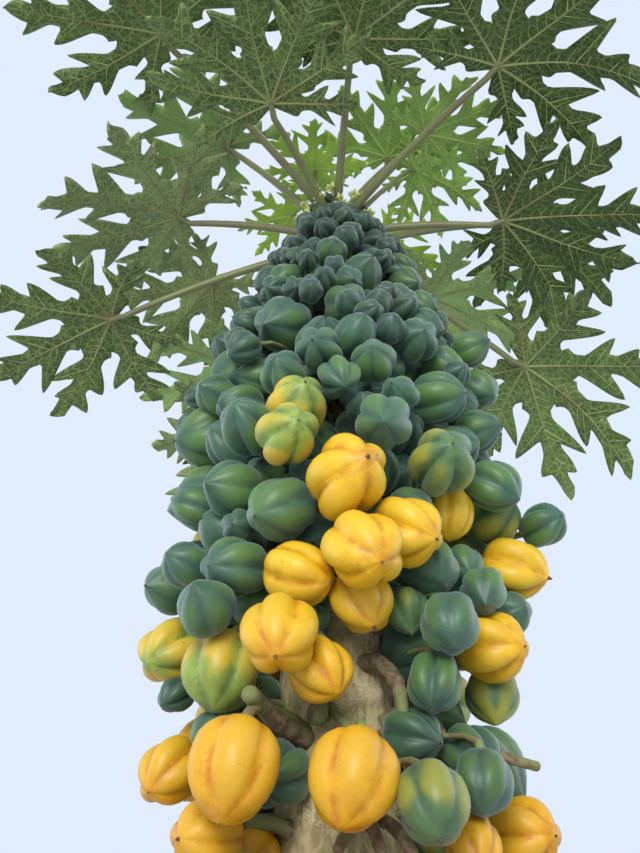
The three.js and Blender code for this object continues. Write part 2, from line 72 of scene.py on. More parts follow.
# %% Camera
CAMERA_PLACE = (-0.026, -0.9, 1.0)
CAMERA_TIP = 45
FOCAL_PIXELS, PICTURE_HEIGHT, SENSOR = 863, 853, 36.0


def in_scene(name, data):
    """A new object of the scene."""
    made = bpy.data.objects.new(name, data)
    bpy.context.scene.collection.objects.link(made)
    return made


camera = in_scene("camera", bpy.data.cameras.new("camera"))
camera.location = CAMERA_PLACE
camera.rotation_euler = ((90 + CAMERA_TIP) * DEGREE, 0, 0)
camera.data.sensor_width = SENSOR
camera.data.lens = FOCAL_PIXELS / PICTURE_HEIGHT * SENSOR
bpy.context.scene.camera = camera
print("lens", round(camera.data.lens, 1), "mm")

# %% [markdown]
# ## Small helpers
# Most pieces here are closed skins over rows of rings: a fruit, a pot, a trunk. One helper makes
# such a skin, and another hands a finished mesh to the frame. A third adds a node to a tree and
# wires it, for materials and for Geometry Nodes alike.

# %% Helpers for meshes
def mesh_object(name, points, faces, *materials, edges=()):
    """A linked object from points in metres."""
    mesh = bpy.data.meshes.new(name)
    mesh.from_pydata([tuple(p) for p in points], edges, faces)
    for material in materials:
        mesh.materials.append(material)
    return in_scene(name, mesh)


def ring_skin(rings, start, end):
    """Points and outward faces of a closed skin over rings that run counter-clockwise."""
    rows, sides = len(rings), len(rings[0])

    def at(row, side):
        return 1 + row * sides + side % sides

    points = [start, *[p for ring in rings for p in ring], end]
    faces = [(0, at(0, s + 1), at(0, s)) for s in range(sides)]
    faces += [(at(r, s), at(r, s + 1), at(r + 1, s + 1), at(r + 1, s))
              for r in range(rows - 1) for s in range(sides)]
    faces += [(len(points) - 1, at(rows - 1, s), at(rows - 1, s + 1)) for s in range(sides)]
    return points, faces


def keep(piece, slot, *nodes):
    """Gives a finished piece to the frame: it rides on the root and stands for these nodes."""
    piece.data.shade_smooth()
    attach(piece, "root")
    if nodes:
        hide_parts(*nodes)
    print(piece.name, sum(len(f.vertices) - 2 for f in piece.data.polygons), "triangles")


# %% Helper for node trees
def step(tree, kind, wires=None, **settings):
    """Adds a node: a wire's value is another node's socket, or a plain value."""
    node = tree.nodes.new(kind)
    for name, value in settings.items():
        setattr(node, name, value)
    for socket, value in (wires or {}).items():
        if isinstance(value, bpy.types.NodeSocket):
            tree.links.new(value, node.inputs[socket])
        else:
            node.inputs[socket].default_value = value
    return node


# %% [markdown]
# ## The growing rule
# The fruit stand where they can: those in view have set places, a golden-angle spiral fills the
# rest of the column, and then all of them push each other apart. The solids follow this rule, so
# the same rule, with the same seeded numbers, puts the fine fruit exactly where they are. Sizes
# are in millimetres here.

# %% Sizes of the trunk and the fruit column
SOIL_TOP, SOIL_MOUND = 366, 9
TRUNK_TOP, TRUNK_TIP, FOOT_RADIUS, NECK_RADIUS, TAPER = 2500, 2528, 74, 32, 2.2
FLARE, FLARE_REACH, SWAY, SWAY_WAVE = 20, 60, 7, 1500
COLUMN_REACH = [(1090, 165), (1180, 200), (1300, 215), (1450, 212), (1540, 230), (1680, 255),
                (1760, 250), (1910, 232), (2150, 170), (2300, 130), (2400, 98), (2500, 70)]
# By how far below the trunk's top a fruit stands.
FRUIT_WIDTH = [(0, 44), (120, 49), (200, 56), (300, 66), (400, 74), (600, 81), (1500, 82)]
LENGTH_RATIO, FRUIT_TOP, FRUIT_BOTTOM, CROWDING = 1.3, 2380, 1120, 1.13
GOLDEN_TURN, SPIRAL_SEED = 137.508, 7
WIDTH_DRIFT, DEPTH_DRIFT, LEAST_DROOP, DROOP_DRIFT, YAW_DRIFT = 0.2, 22, -8, 44, 30
# A fruit as three balls on its axis: each one's place and radius, as shares of length and width.
BALLS = [(-0.2, 0.44), (0, 0.5), (0.22, 0.38)]
PUSH, PUSH_ROUNDS, SHOWN_HOLD = 0.8, 60, 0.1
# Shares of a fruit's own size: its room at the trunk when placed and when pushed, at the column's rim,
# and how near a shown fruit another may start.
FIRST_ROOM, TRUNK_ROOM, RIM_ROOM, TOO_NEAR = 0.7, 0.62, 0.36, 0.45
PATCH_MIDDLE, PATCH_HALF, PATCH_LOW, PATCH_HIGH = 2, 72, 1240, 1830

# Azimuth, height, distance, width, droop, turn of the tip away from straight outward, and ripeness
# from 0 for green to 1 for ripe.
FRONT_FRUIT = [
    (-13, 1745, 200, 71, 5, 25, 0.5), (-14, 1670, 225, 67, 20, 30, 0.5), (2, 1610, 205, 85, 15, 15, 1),
    (22, 1570, 190, 70, 40, 30, 1), (5, 1520, 200, 77, 50, 25, 1), (-16, 1540, 160, 67, 30, 85, 1),
    (53, 1645, 170, 57, 70, 145, 1), (35, 1665, 210, 73, 15, -25, 0.3), (13, 1690, 220, 64, 40, -15, 0),
    (39, 1795, 200, 63, 15, 20, 0), (19, 1755, 215, 45, 20, -40, 0), (9, 1755, 185, 41, 5, -20, 0),
    (-30, 1715, 215, 62, -5, 10, 0), (-19, 1605, 180, 70, 40, -30, 0), (-37, 1560, 170, 65, 25, 0, 0),
    (-39, 1645, 190, 66, 20, -10, 0), (-37, 1600, 180, 38, 30, 25, 0), (-8, 1830, 205, 57, 30, -5, 0),
    (10, 1810, 210, 54, 20, -15, 0), (31, 1890, 195, 61, 25, -15, 0), (48, 1890, 190, 57, 45, 15, 0),
    (57, 1940, 215, 56, 10, -5, 0), (67, 1890, 210, 56, 50, -15, 0), (60, 1790, 210, 55, 15, -5, 0.12),
    (58, 1680, 220, 60, 45, 15, 0), (78, 1680, 215, 63, 5, -45, 0.3), (79, 1680, 255, 53, 10, -45, 0),
    (80, 1625, 220, 71, 30, -10, 0.9), (38, 1560, 155, 62, 60, 10, 0), (59, 1595, 170, 49, 60, -45, 0),
    (55, 1540, 190, 50, 60, -60, 0), (-19, 1800, 205, 54, 10, 5, 0), (-37, 1875, 210, 45, 40, -40, 0),
    (0, 1775, 205, 51, 65, 25, 0), (-82, 1600, 205, 60, 25, 40, 0), (-52, 1565, 200, 51, 5, 15, 0),
    (-43, 1490, 200, 57, -10, 30, 0), (-83, 1515, 190, 69, 40, 40, 0.45),
    (-52, 1455, 155, 76, 80, 15, 0.42), (-17, 1440, 190, 72, 60, 15, 1), (-9, 1430, 140, 59, 55, 70, 1),
    (12, 1510, 140, 63, 70, 40, 1), (30, 1515, 135, 47, 80, 0, 0.25), (37, 1470, 185, 58, 70, -45, 0),
    (65, 1485, 185, 69, 20, -20, 0.9), (40, 1430, 150, 54, 75, -90, 0.15),
    (81, 1460, 170, 59, 75, -90, 0.25), (81, 1565, 205, 52, 15, -50, 0), (-79, 1455, 180, 37, 45, 25, 0),
    (-78, 1370, 175, 63, 45, 40, 1), (-33, 1325, 180, 81, 80, -30, 0.9), (2, 1310, 165, 76, 75, -60, 1),
    (24, 1290, 180, 62, 65, -15, 0.3), (44, 1320, 180, 52, 75, -80, 0.15),
    (74, 1305, 180, 63, 15, -35, 0.85), (-53, 1290, 155, 61, 20, 15, 0.8),
    (49, 1280, 155, 50, 55, -50, 0.9),
]
print("fruit with set places", len(FRONT_FRUIT))


# %% Tables, chance, and where the trunk is
def along(table, place):
    """The value of a table of (place, value) rows, straight from row to row."""
    return float(np.interp(place, *zip(*table)))


def seeded_numbers(seed):
    """The same row of numbers from 0 to 1 on every run."""
    while True:
        seed = (seed * 1664525 + 1013904223) % 2 ** 32
        yield seed / 2 ** 32


def trunk_middle(height):
    phase = 2 * pi * (height - SOIL_TOP) / SWAY_WAVE
    return SWAY * sin(phase), SWAY * (1 - cos(phase)) / 2


def trunk_radius(height):
    climbed = min(1, (height - SOIL_TOP) / (TRUNK_TOP - SOIL_TOP))
    taper = NECK_RADIUS + (FOOT_RADIUS - NECK_RADIUS) * (1 - climbed ** TAPER)
    return taper + FLARE * exp(-(height - SOIL_TOP) / FLARE_REACH)


def outward(azimuth):
    return sin(azimuth * DEGREE), -cos(azimuth * DEGREE)


def around(azimuth, distance, height):
    (x, y), (east, north) = trunk_middle(height), outward(azimuth)
    return [x + east * distance, y + north * distance, height]


def azimuth_of(p):
    x, y = trunk_middle(p[2])
    return atan2(p[0] - x, y - p[1]) / DEGREE


def signed_turn(one, other):
    return (one - other + 540) % 360 - 180


def beside_patch(azimuth, reach):
    """Whether an azimuth is within so many degrees of the middle of the fruit in view."""
    return abs(signed_turn(azimuth, PATCH_MIDDLE)) < reach


# %% Place the fruit
def fruit_row(azimuth, height, distance, width, droop, yaw, hold=1, ripe=None):
    return {"middle": around(azimuth, distance, height), "width": width, "droop": droop,
            "length": width * LENGTH_RATIO, "hold": hold, "ripe": ripe, "yaw": yaw}


def fruit_axis(fruit, droop):
    level = cos(droop * DEGREE)
    east, north = outward(azimuth_of(fruit["middle"]) + fruit["yaw"])
    return east * level, north * level, -sin(droop * DEGREE)


def spiral_fruit():
    random = seeded_numbers(SPIRAL_SEED)
    rows, height, azimuth = [], FRUIT_TOP, 0.0
    while height > FRUIT_BOTTOM:
        size, reach, droop, yaw = (next(random) for draw in range(4))
        width = along(FRUIT_WIDTH, TRUNK_TOP - height) * (1 + WIDTH_DRIFT * (size - 0.5))
        furthest = along(COLUMN_REACH, height) - width * LENGTH_RATIO / 2 - DEPTH_DRIFT * reach
        distance = max(furthest, trunk_radius(height) + width * FIRST_ROOM)
        if not (beside_patch(azimuth, PATCH_HALF) and PATCH_LOW < height < PATCH_HIGH):
            rows.append(fruit_row(azimuth, height, distance, width, LEAST_DROOP + DROOP_DRIFT * droop,
                                  YAW_DRIFT * (yaw - 0.5)))
        azimuth = (azimuth + GOLDEN_TURN) % 360
        height -= CROWDING * width * width / (2 * pi * distance)
    return rows


# %% Let the fruit push each other apart
def balls_of(fruit):
    axis, middle = fruit_axis(fruit, fruit["droop"]), fruit["middle"]
    return [([middle[k] + axis[k] * shift * fruit["length"] for k in range(3)], size * fruit["width"])
            for shift, size in BALLS]


def pressure(one, other):
    if dist(one["middle"], other["middle"]) > (one["length"] + other["length"]) / 2:
        return None
    push, most = None, 0.0
    for mine, radius in balls_of(one):
        for theirs, other_radius in balls_of(other):
            gap = dist(mine, theirs)
            depth = radius + other_radius - gap
            if depth > most:
                push, most = [(mine[k] - theirs[k]) * depth / gap for k in range(3)], depth
    return push


def keep_in_column(fruit):
    middle = fruit["middle"]
    x, y = trunk_middle(middle[2])
    level = hypot(middle[0] - x, middle[1] - y)
    furthest = along(COLUMN_REACH, middle[2]) - RIM_ROOM * fruit["length"]
    wanted = max(trunk_radius(middle[2]) + TRUNK_ROOM * fruit["width"], min(furthest, level))
    middle[0], middle[1] = x + (middle[0] - x) * wanted / level, y + (middle[1] - y) * wanted / level


def settle(fruits):
    for turn in range(PUSH_ROUNDS):
        for first, one in enumerate(fruits):
            for other in fruits[first + 1:]:
                push = pressure(one, other)
                if push is None:
                    continue
                share = one["hold"] / (one["hold"] + other["hold"])
                for k in range(3):
                    one["middle"][k] += PUSH * share * push[k]
                    other["middle"][k] -= PUSH * (1 - share) * push[k]
        for fruit in fruits:
            if fruit["hold"] != SHOWN_HOLD:
                keep_in_column(fruit)


shown = [fruit_row(*row, SHOWN_HOLD, ripe) for *row, ripe in FRONT_FRUIT]
fruits = shown + [f for f in spiral_fruit() if all(
    dist(f["middle"], s["middle"]) > TOO_NEAR * (f["width"] + s["width"]) for s in shown)]
settle(fruits)
print("fruit of the rule", len(fruits), "first at", [round(n, 2) for n in fruits[0]["middle"]])

# %% Size the upper fruit
# The solids' upper fruit are larger than life, so as to be fewer. Here each is smaller, its tip where
# it was, and the gaps that this leaves are filled further down.
UPPER_SHARE = [(1840, 1), (1950, 0.88), (2100, 0.76), (2250, 0.7), (2500, 0.68)]
for fruit in fruits:
    x, y, height = fruit["middle"]
    share = along(UPPER_SHARE, height)
    level = 1 + 0.5 * (1 - share) * fruit["length"] / hypot(x, y)
    fruit["middle"] = [x * level, y * level, height]
    fruit["width"], fruit["length"] = fruit["width"] * share, fruit["length"] * share
print("smallest fruit", round(min(fruit["width"] for fruit in fruits)), "mm wide")

# %% [markdown]
# ## Node trees that set things out
# Fruit, buds and soil crumbs are many copies of a few shapes. Geometry Nodes set a shape on each
# point, turned and sized by the point's own numbers. Stalks and leaf veins are lines that become
# tapering limbs. Every tree ends in real mesh with its material set.

# %% How each tree begins and ends
def new_tree(name, inputs):
    """A tree with these inputs: it comes with the sockets of its inputs and of its result."""
    tree = bpy.data.node_groups.new(name, "GeometryNodeTree")
    tree.interface.new_socket("Geometry", in_out="INPUT", socket_type="NodeSocketGeometry")
    for label, kind in inputs.items():
        tree.interface.new_socket(label, in_out="INPUT", socket_type="NodeSocket" + kind)
    tree.interface.new_socket("Geometry", in_out="OUTPUT", socket_type="NodeSocketGeometry")
    return tree, tree.nodes.new("NodeGroupInput").outputs, tree.nodes.new("NodeGroupOutput").inputs


def named(tree, name, kind):
    return step(tree, "GeometryNodeInputNamedAttribute", {"Name": name}, data_type=kind).outputs[0]


def copies_on(tree, given, points, wires):
    """A shape of the given collection on each point."""
    shapes = step(tree, "GeometryNodeCollectionInfo", {
        "Collection": given["Shapes"], "Separate Children": True, "Reset Children": True})
    return step(tree, "GeometryNodeInstanceOnPoints", {
        "Points": points, "Instance": shapes.outputs[0], "Pick Instance": True, **wires}).outputs[0]


def end_tree(tree, given, result, geometry):
    real = step(tree, "GeometryNodeRealizeInstances", {"Geometry": geometry})
    painted = step(tree, "GeometryNodeSetMaterial", {
        "Geometry": real.outputs[0], "Material": given["Material"]})
    tree.links.new(painted.outputs[0], result["Geometry"])
    print("tree:", tree.name, len(tree.nodes), "nodes")


# %% Tree that sets shapes on points, and tree that makes limbs of lines
set_out_tree, given, result = new_tree("set shapes on points", {
    "Shapes": "Collection", "Material": "Material"})
end_tree(set_out_tree, given, result, copies_on(set_out_tree, given, given["Geometry"], {
    "Instance Index": named(set_out_tree, "shape", "INT"),
    "Rotation": named(set_out_tree, "turn", "FLOAT_VECTOR"),
    "Scale": named(set_out_tree, "size", "FLOAT_VECTOR")}))

limb_tree, given, result = new_tree("limbs of lines", {"Sides": "Int", "Material": "Material"})
lines = step(limb_tree, "GeometryNodeMeshToCurve", {"Mesh": given["Geometry"]})
thick = step(limb_tree, "GeometryNodeSetCurveRadius", {
    "Curve": lines.outputs[0], "Radius": named(limb_tree, "radius", "FLOAT")})
circle = step(limb_tree, "GeometryNodeCurvePrimitiveCircle", {
    "Resolution": given["Sides"], "Radius": 1.0})
skin = step(limb_tree, "GeometryNodeCurveToMesh", {
    "Curve": thick.outputs[0], "Profile Curve": circle.outputs[0], "Fill Caps": True})
if "Scale" in skin.inputs:
    limb_tree.links.new(named(limb_tree, "radius", "FLOAT"), skin.inputs["Scale"])
end_tree(limb_tree, given, result, skin.outputs[0])


# %% Run a tree and keep its mesh
def as_modified(piece):
    """A plain mesh of a piece as its modifiers make it."""
    piece.update_tag()
    graph = bpy.context.evaluated_depsgraph_get()
    graph.update()
    return bpy.data.meshes.new_from_object(piece.evaluated_get(graph), depsgraph=graph)


def grow(name, base, tree, **inputs):
    """Runs a tree on a base object and gives back a plain mesh object."""
    places = {s.name: s.identifier for s in tree.interface.items_tree if s.in_out == "INPUT"}
    modifier = base.modifiers.new("grow", "NODES")
    modifier.node_group = tree
    for label, value in inputs.items():
        modifier[places[label]] = value
    mesh = as_modified(base)
    mesh.name = name
    bpy.data.objects.remove(base)
    return in_scene(name, mesh)


def give(mesh, label, kind, values):
    """Gives each point of a mesh a number or a vector of its own."""
    values = np.array(values, np.int32 if kind == "INT" else np.float32).ravel()
    mesh.attributes.new(label, kind, "POINT").data.foreach_set(
        "vector" if kind == "FLOAT_VECTOR" else "value", values)


def set_out(name, rows, shapes, material):
    """Rows of (place in metres, turn, size, number of the shape), made into one mesh."""
    base = mesh_object(name + "_points", [row[0] for row in rows], [])
    give(base.data, "turn", "FLOAT_VECTOR", [tuple(row[1]) for row in rows])
    give(base.data, "size", "FLOAT_VECTOR", [tuple(row[2]) for row in rows])
    give(base.data, "shape", "INT", [row[3] for row in rows])
    return grow(name, base, set_out_tree, Shapes=shapes, Material=material)


def limbs(name, lines, material, sides):
    """Lines of (place in metres, radius in metres) points, made into one mesh of limbs."""
    points, radii, edges = [], [], []
    for line in lines:
        edges += [(len(points) + k, len(points) + k + 1) for k in range(len(line) - 1)]
        points += [p for p, radius in line]
        radii += [radius for p, radius in line]
    base = mesh_object(name + "_lines", points, [], edges=edges)
    give(base.data, "radius", "FLOAT", radii)
    return grow(name, base, limb_tree, Sides=sides, Material=material)


def shape_set(name, made):
    """A collection of hidden shapes for the tree to pick from, in order of their names."""
    group = bpy.data.collections.new(name)
    for number, (points, faces, *crests) in enumerate(made):
        mesh = bpy.data.meshes.new(f"{name}_{number:02d}")
        mesh.from_pydata([tuple(p) for p in points], [], faces)
        mesh.shade_smooth()
        for crest in crests:
            give(mesh, "crest", "FLOAT", crest)
        group.objects.link(bpy.data.objects.new(mesh.name, mesh))
    return group


def clear_shapes(group):
    for shape in list(group.objects):
        bpy.data.objects.remove(shape)
    bpy.data.collections.remove(group)


# %% [markdown]
# ## Materials
# Every finish here starts from the same few patterns: soft patches of a second colour, small
# specks, and a fine relief. They read Object coordinates, which stay with the plant when the
# camera moves.

# %% Helpers for materials
def finish(name, colour, roughness, **values):
    """A new material with its shader's even values set on the shader itself."""
    material = bpy.data.materials.new(name)
    material.use_nodes = True
    shader = material.node_tree.nodes["Principled BSDF"]
    shader.inputs["Base Color"].default_value = (*colour, 1)
    shader.inputs["Roughness"].default_value = roughness
    for label, value in values.items():
        shader.inputs[label.replace("_", " ")].default_value = value
    return material, material.node_tree, shader


def calculate(tree, operation, *values):
    return step(tree, "ShaderNodeMath", dict(enumerate(values)), operation=operation).outputs[0]


def object_place(tree):
    return step(tree, "ShaderNodeTexCoord").outputs["Object"]


def clouds(tree, scale, detail=3.0, stretch=(1, 1, 1), distortion=0.0):
    """Noise on Object coordinates, stretched along an axis where a pattern runs along it."""
    place = step(tree, "ShaderNodeMapping", {"Vector": object_place(tree), "Scale": stretch}).outputs[0]
    return step(tree, "ShaderNodeTexNoise", {
        "Vector": place, "Scale": scale, "Detail": detail, "Distortion": distortion}).outputs[0]


def band(tree, factor, low, high):
    """0 below low, 1 above high, smooth between."""
    return step(tree, "ShaderNodeMapRange", {
        "Value": factor, "From Min": low, "From Max": high}, interpolation_type="SMOOTHSTEP").outputs[0]


def patches(tree, scale, detail, low, high, most=1, stretch=(1, 1, 1), distortion=0.0):
    """Patches of noise: 0 where it is below low, the most where it is above high."""
    factor = band(tree, clouds(tree, scale, detail, stretch, distortion), low, high)
    return calculate(tree, "MULTIPLY", factor, most) if most < 1 else factor


def by_height(tree, none, full, most):
    """0 at one height in metres and the most at another."""
    height = step(tree, "ShaderNodeSeparateXYZ", {0: object_place(tree)}).outputs["Z"]
    return step(tree, "ShaderNodeMapRange", {
        "Value": height, "From Min": none, "From Max": full, "To Max": most}).outputs[0]


def blend_colours(tree, factor, *colours):
    one, other = (c if isinstance(c, bpy.types.NodeSocket) else (*c, 1) for c in colours)
    return step(tree, "ShaderNodeMix", {0: factor, 6: one, 7: other}, data_type="RGBA").outputs[2]


def layered(tree, base, layers):
    """Lays colours over a base one after another, each where its factor is high."""
    for factor, colour in layers:
        base = blend_colours(tree, factor, base, colour)
    return base


def colour_and_relief(tree, shader, colour, relief=None, height=0.001, strength=0.5):
    tree.links.new(colour, shader.inputs["Base Color"])
    if relief is not None:
        bump = step(tree, "ShaderNodeBump", {"Height": relief, "Distance": height, "Strength": strength})
        tree.links.new(bump.outputs[0], shader.inputs["Normal"])


def layered_finish(name, roughness, colour, layers, relief=None, **values):
    """Layers of (colour, patches) over a first colour; relief is (scale, detail, height, strength)."""
    material, tree, shader = finish(name, colour, roughness, **values)
    base = layered(tree, colour, [(patches(tree, *where), layer) for layer, where in layers])
    bumps = (clouds(tree, *relief[:2]), *relief[2:]) if relief else ()
    colour_and_relief(tree, shader, base, *bumps)
    return material


# %% [markdown]
# ## Fruit
# A papaya of this kind is a short, fat star: five round lobes with a crease between each pair.
# A section through it is five circles that overlap, and one number, how far their middles lie
# out, takes it from nearly round to a deep star. A handful of shapes of each kind, each a little
# lopsided, is enough, because every copy is turned and sized on its own.

# %% Outlines of the fruit from the stalk to the tip
POINTED = [(0, 0), (0.02, 0.28), (0.07, 0.54), (0.15, 0.77), (0.27, 0.94), (0.4, 1), (0.53, 0.98),
           (0.66, 0.86), (0.77, 0.66), (0.86, 0.43), (0.92, 0.26), (0.97, 0.11), (1, 0)]
BLUNT = [(0, 0), (0.025, 0.34), (0.07, 0.58), (0.15, 0.8), (0.27, 0.95), (0.42, 1), (0.56, 0.99),
         (0.68, 0.92), (0.79, 0.77), (0.87, 0.58), (0.93, 0.38), (0.975, 0.17), (1, 0)]
BUDDING = [(0, 0), (0.03, 0.4), (0.1, 0.7), (0.22, 0.92), (0.4, 1), (0.58, 0.97), (0.74, 0.8),
           (0.86, 0.56), (0.94, 0.34), (1, 0)]
FRUIT_LOBES, LOPSIDED, LEAN = 5, 0.16, 0.07


# %% Shapes of the fruit
def lobe_reach(angle, middles_out):
    """How far a round lobe reaches, at an angle from its middle."""
    return middles_out * cos(angle) + sqrt(
        (1 - middles_out) ** 2 - (middles_out * sin(angle)) ** 2)


def fruit_shape(profile, middles_out, seed, rows=13, lobe_sides=8):
    """A fruit from its stalk at x = 0 to its tip at x = 1, one wide, and how near a crest each point is."""
    random = seeded_numbers(seed)
    sizes = [1 + LOPSIDED * (next(random) - 0.5) for lobe in range(FRUIT_LOBES)]
    lean = [LEAN * (next(random) - 0.5) for side in range(2)]
    rings, crests = [], [0.0]
    for place in (1 - np.cos(np.linspace(0, pi, rows + 2)[1:-1])) / 2:
        y, z = (shift * sin(pi * place) for shift in lean)
        out = middles_out * min(1, 0.55 + 2 * place) * min(1, 0.7 + 2.5 * (1 - place))
        ring = []
        for side in range(FRUIT_LOBES * lobe_sides):
            lobe, across = side // lobe_sides, side % lobe_sides / lobe_sides - 0.5
            beside = (lobe + (1 if across > 0 else -1)) % FRUIT_LOBES
            size = sizes[lobe] + (sizes[beside] - sizes[lobe]) * 2 * across ** 2
            turn = 2 * pi / FRUIT_LOBES
            radius = 0.5 * along(profile, place) * size * lobe_reach(across * turn, out)
            turn *= side / lobe_sides
            ring.append((place, y + radius * cos(turn), z + radius * sin(turn)))
            crests.append((1 - 4 * across ** 2) * sin(pi * place))
        rings.append(ring)
    return *ring_skin(rings, (0.012, 0, 0), (1, 0, 0)), crests + [0.0]


green_shapes = shape_set("green_shape", [
    fruit_shape(profile, out, 11 + k) for k, (profile, out) in enumerate([
        (POINTED, 0.4), (BLUNT, 0.46), (POINTED, 0.48), (BLUNT, 0.55), (POINTED, 0.44), (BLUNT, 0.6)])])
ripe_shapes = shape_set("ripe_shape", [
    fruit_shape(BLUNT, out, 31 + k) for k, out in enumerate((0.49, 0.45, 0.51, 0.57, 0.6, 0.54))])
small_shapes = shape_set("small_shape", [
    fruit_shape(BUDDING, out, 51 + k, 10, 6) for k, out in enumerate((0.5, 0.56, 0.6, 0.61, 0.53, 0.46))])

# %% [markdown]
# The skin of a green fruit is blue-green under a waxy bloom, and yellower on the crests of its
# lobes. The creases are painted a little darker, as shade, and so are the fruit low on the column
# and those up under the crown. Each shape brings the number that says how near a crest it is, and
# each stage of ripeness is a finish of its own, dealt out fruit by fruit, because on the real trunk a
# ripe one often sits beside a green one.

# %% Skins of the fruit
def fruit_skin(name, painted_crease_shade, skin, crest, crest_from, mark, bloom, deep=(0, 0, 0)):
    material, tree, shader = finish(name, skin, 0.44, Specular_IOR_Level=0.42, Sheen_Weight=bloom,
                                    Sheen_Roughness=0.45, Sheen_Tint=(0.75, 0.88, 1, 1))
    near_crest = step(tree, "ShaderNodeAttribute", attribute_name="crest").outputs["Fac"]
    drift = calculate(tree, "MULTIPLY_ADD", near_crest, 0.3, clouds(tree, 13, 2, distortion=0.4))
    dots = calculate(tree, "MULTIPLY", patches(tree, 420, 1, 0.7, 0.76), patches(tree, 30, 1, 0.5, 0.62))
    # Painted shade in the creases: the crease colour lies beneath, and the skin covers it towards each
    # crest.
    base = layered(tree, painted_crease_shade, [
        (band(tree, near_crest, 0.0, 0.4), skin),
        (patches(tree, 55, 3, 0.35, 0.7), tuple(1.22 * c for c in skin)),
        (band(tree, drift, crest_from, crest_from + 0.24), crest),
        (patches(tree, 75, 4, 0.72, 0.76, distortion=0.5), mark),
        (dots, mark),
        (patches(tree, 520, 1, 0.68, 0.74, 0.5), tuple(min(0.85, 1.9 * c + 0.03) for c in skin)),
        # Painted shade: darker towards the bottom of the column; ripe fruit turn a deeper orange there,
        # partly riper colour and partly painted shade.
        (by_height(tree, 1.52, 1.34, 0.28), deep),
        # Painted shade: darker towards black up under the crown of leaves, from 1.85 m to 2.15 m.
        (by_height(tree, 1.85, 2.15, 0.26), (0, 0, 0))])
    colour_and_relief(tree, shader, base, clouds(tree, 110, 4), 0.0014, 0.35)
    return material


# The crease's painted shade, the skin, the crest and where its colour begins, marks, bloom, and the
# colour of the painted shade low down. A name begins with its stage.
SKIN_COLOURS = {
    "small_green_skin": ((0.024, 0.056, 0.036), (0.033, 0.073, 0.045), (0.05, 0.104, 0.04), 0.64,
              (0.1, 0.16, 0.06), 0.3),
    "green_skin": ((0.03, 0.074, 0.045), (0.039, 0.094, 0.053), (0.073, 0.152, 0.036), 0.57,
              (0.13, 0.17, 0.06), 0.32),
    "turning_skin": ((0.042, 0.094, 0.042), (0.073, 0.147, 0.05), (0.3, 0.305, 0.037), 0.58,
                (0.12, 0.08, 0.03), 0.2),
    "half_ripe_skin": ((0.11, 0.17, 0.033), (0.2, 0.275, 0.042), (0.56, 0.39, 0.033), 0.52,
             (0.2, 0.11, 0.03), 0.1),
    "ripe_skin": ((0.49, 0.215, 0.007), (0.6, 0.35, 0.011), (0.64, 0.41, 0.019), 0.56,
             (0.26, 0.12, 0.035), 0.0, (0.38, 0.06, 0)),
}
SKINS = {name.split("_")[0]: fruit_skin(name, *row) for name, row in SKIN_COLOURS.items()}
print("skins", len(SKINS))

# %% [markdown]
# On the real trunk the fruit are packed until they touch. The solids have one for each place of
# the rule, and the gaps between them are filled here: the spiral goes round again with smaller
# fruit, and each one is moved in from the rim of the column until it has room. The youngest ones,
# up by the leaves, are too small for the solids and come last.

# %% Fruit for the gaps
# First height, last height, drop from one to the next, smallest share of the full width, and seed.
FILLS = [(2390, 1150, 1.5, 0.62, 61), (2330, 1760, 1.2, 0.44, 67)]
FILL_GROWTH, FILL_DROOP, FILL_DROOP_DRIFT, FILL_YAW_DRIFT = 0.55, -12, 50, 50
MOVE_IN, MAY_PRESS, BEHIND_SHOWN, BESIDE_SHOWN = 7.0, 0.13, 30, 12
BARE_HALF, BARE_LOW, BARE_HIGH = 38, 1150, 1500


def ball_rows(fruit):
    return [(*place, radius) for place, radius in balls_of(fruit)]


def fill_gaps(first_height, last_height, drop, smallest, seed):
    random = seeded_numbers(seed)
    taken = np.array([row for fruit in fruits for row in ball_rows(fruit)])
    added, height, azimuth = [], first_height, 70.0
    while height > last_height:
        size, droop, yaw = (next(random) for draw in range(3))
        width = along(FRUIT_WIDTH, TRUNK_TOP - height) * smallest * (1 + FILL_GROWTH * size)
        furthest = along(COLUMN_REACH, height) - 0.5 * width * LENGTH_RATIO
        if beside_patch(azimuth, PATCH_HALF + BESIDE_SHOWN) and height < PATCH_HIGH:
            furthest -= BEHIND_SHOWN
        distances = np.arange(furthest, trunk_radius(height) + 0.5 * width, -MOVE_IN)
        if beside_patch(azimuth, BARE_HALF) and BARE_LOW < height < BARE_HIGH:
            distances = []
        for distance in distances:
            fruit = fruit_row(azimuth, height, distance, width, FILL_DROOP + FILL_DROOP_DRIFT * droop,
                              FILL_YAW_DRIFT * (yaw - 0.5))
            mine = np.array(ball_rows(fruit))
            gaps = np.linalg.norm(mine[:, None, :3] - taken[None, :, :3], axis=2)
            if (gaps - mine[:, None, 3] - taken[None, :, 3]).min() > -MAY_PRESS * width:
                taken = np.vstack([taken, mine])
                added.append(fruit)
                break
        azimuth, height = (azimuth + GOLDEN_TURN) % 360, height - drop
    return added


for fill in FILLS:
    fruits += fill_gaps(*fill)
print("fruit with the gaps filled", len(fruits))

# %% Ripeness, and the youngest fruit
GREEN_ABOVE, GREEN_ABOVE_IN_FRONT = 1850, 1330
RIPE_HEIGHT, RIPENING, RIPE_DRIFT = 1640, 520, 1.5
YOUNG_TOP, YOUNG_BOTTOM, YOUNG_DROP = 2484, 2340, 3.8
YOUNG_SIZE, YOUNG_GROWTH, YOUNG_OVER, YOUNG_DRIFT = 17, 17, 154, 12
RIPE_FROM, HALF_FROM, TURNING_FROM = 0.62, 0.38, 0.2
SMALL_ABOVE, SMALL_WIDTH = 2200, 44

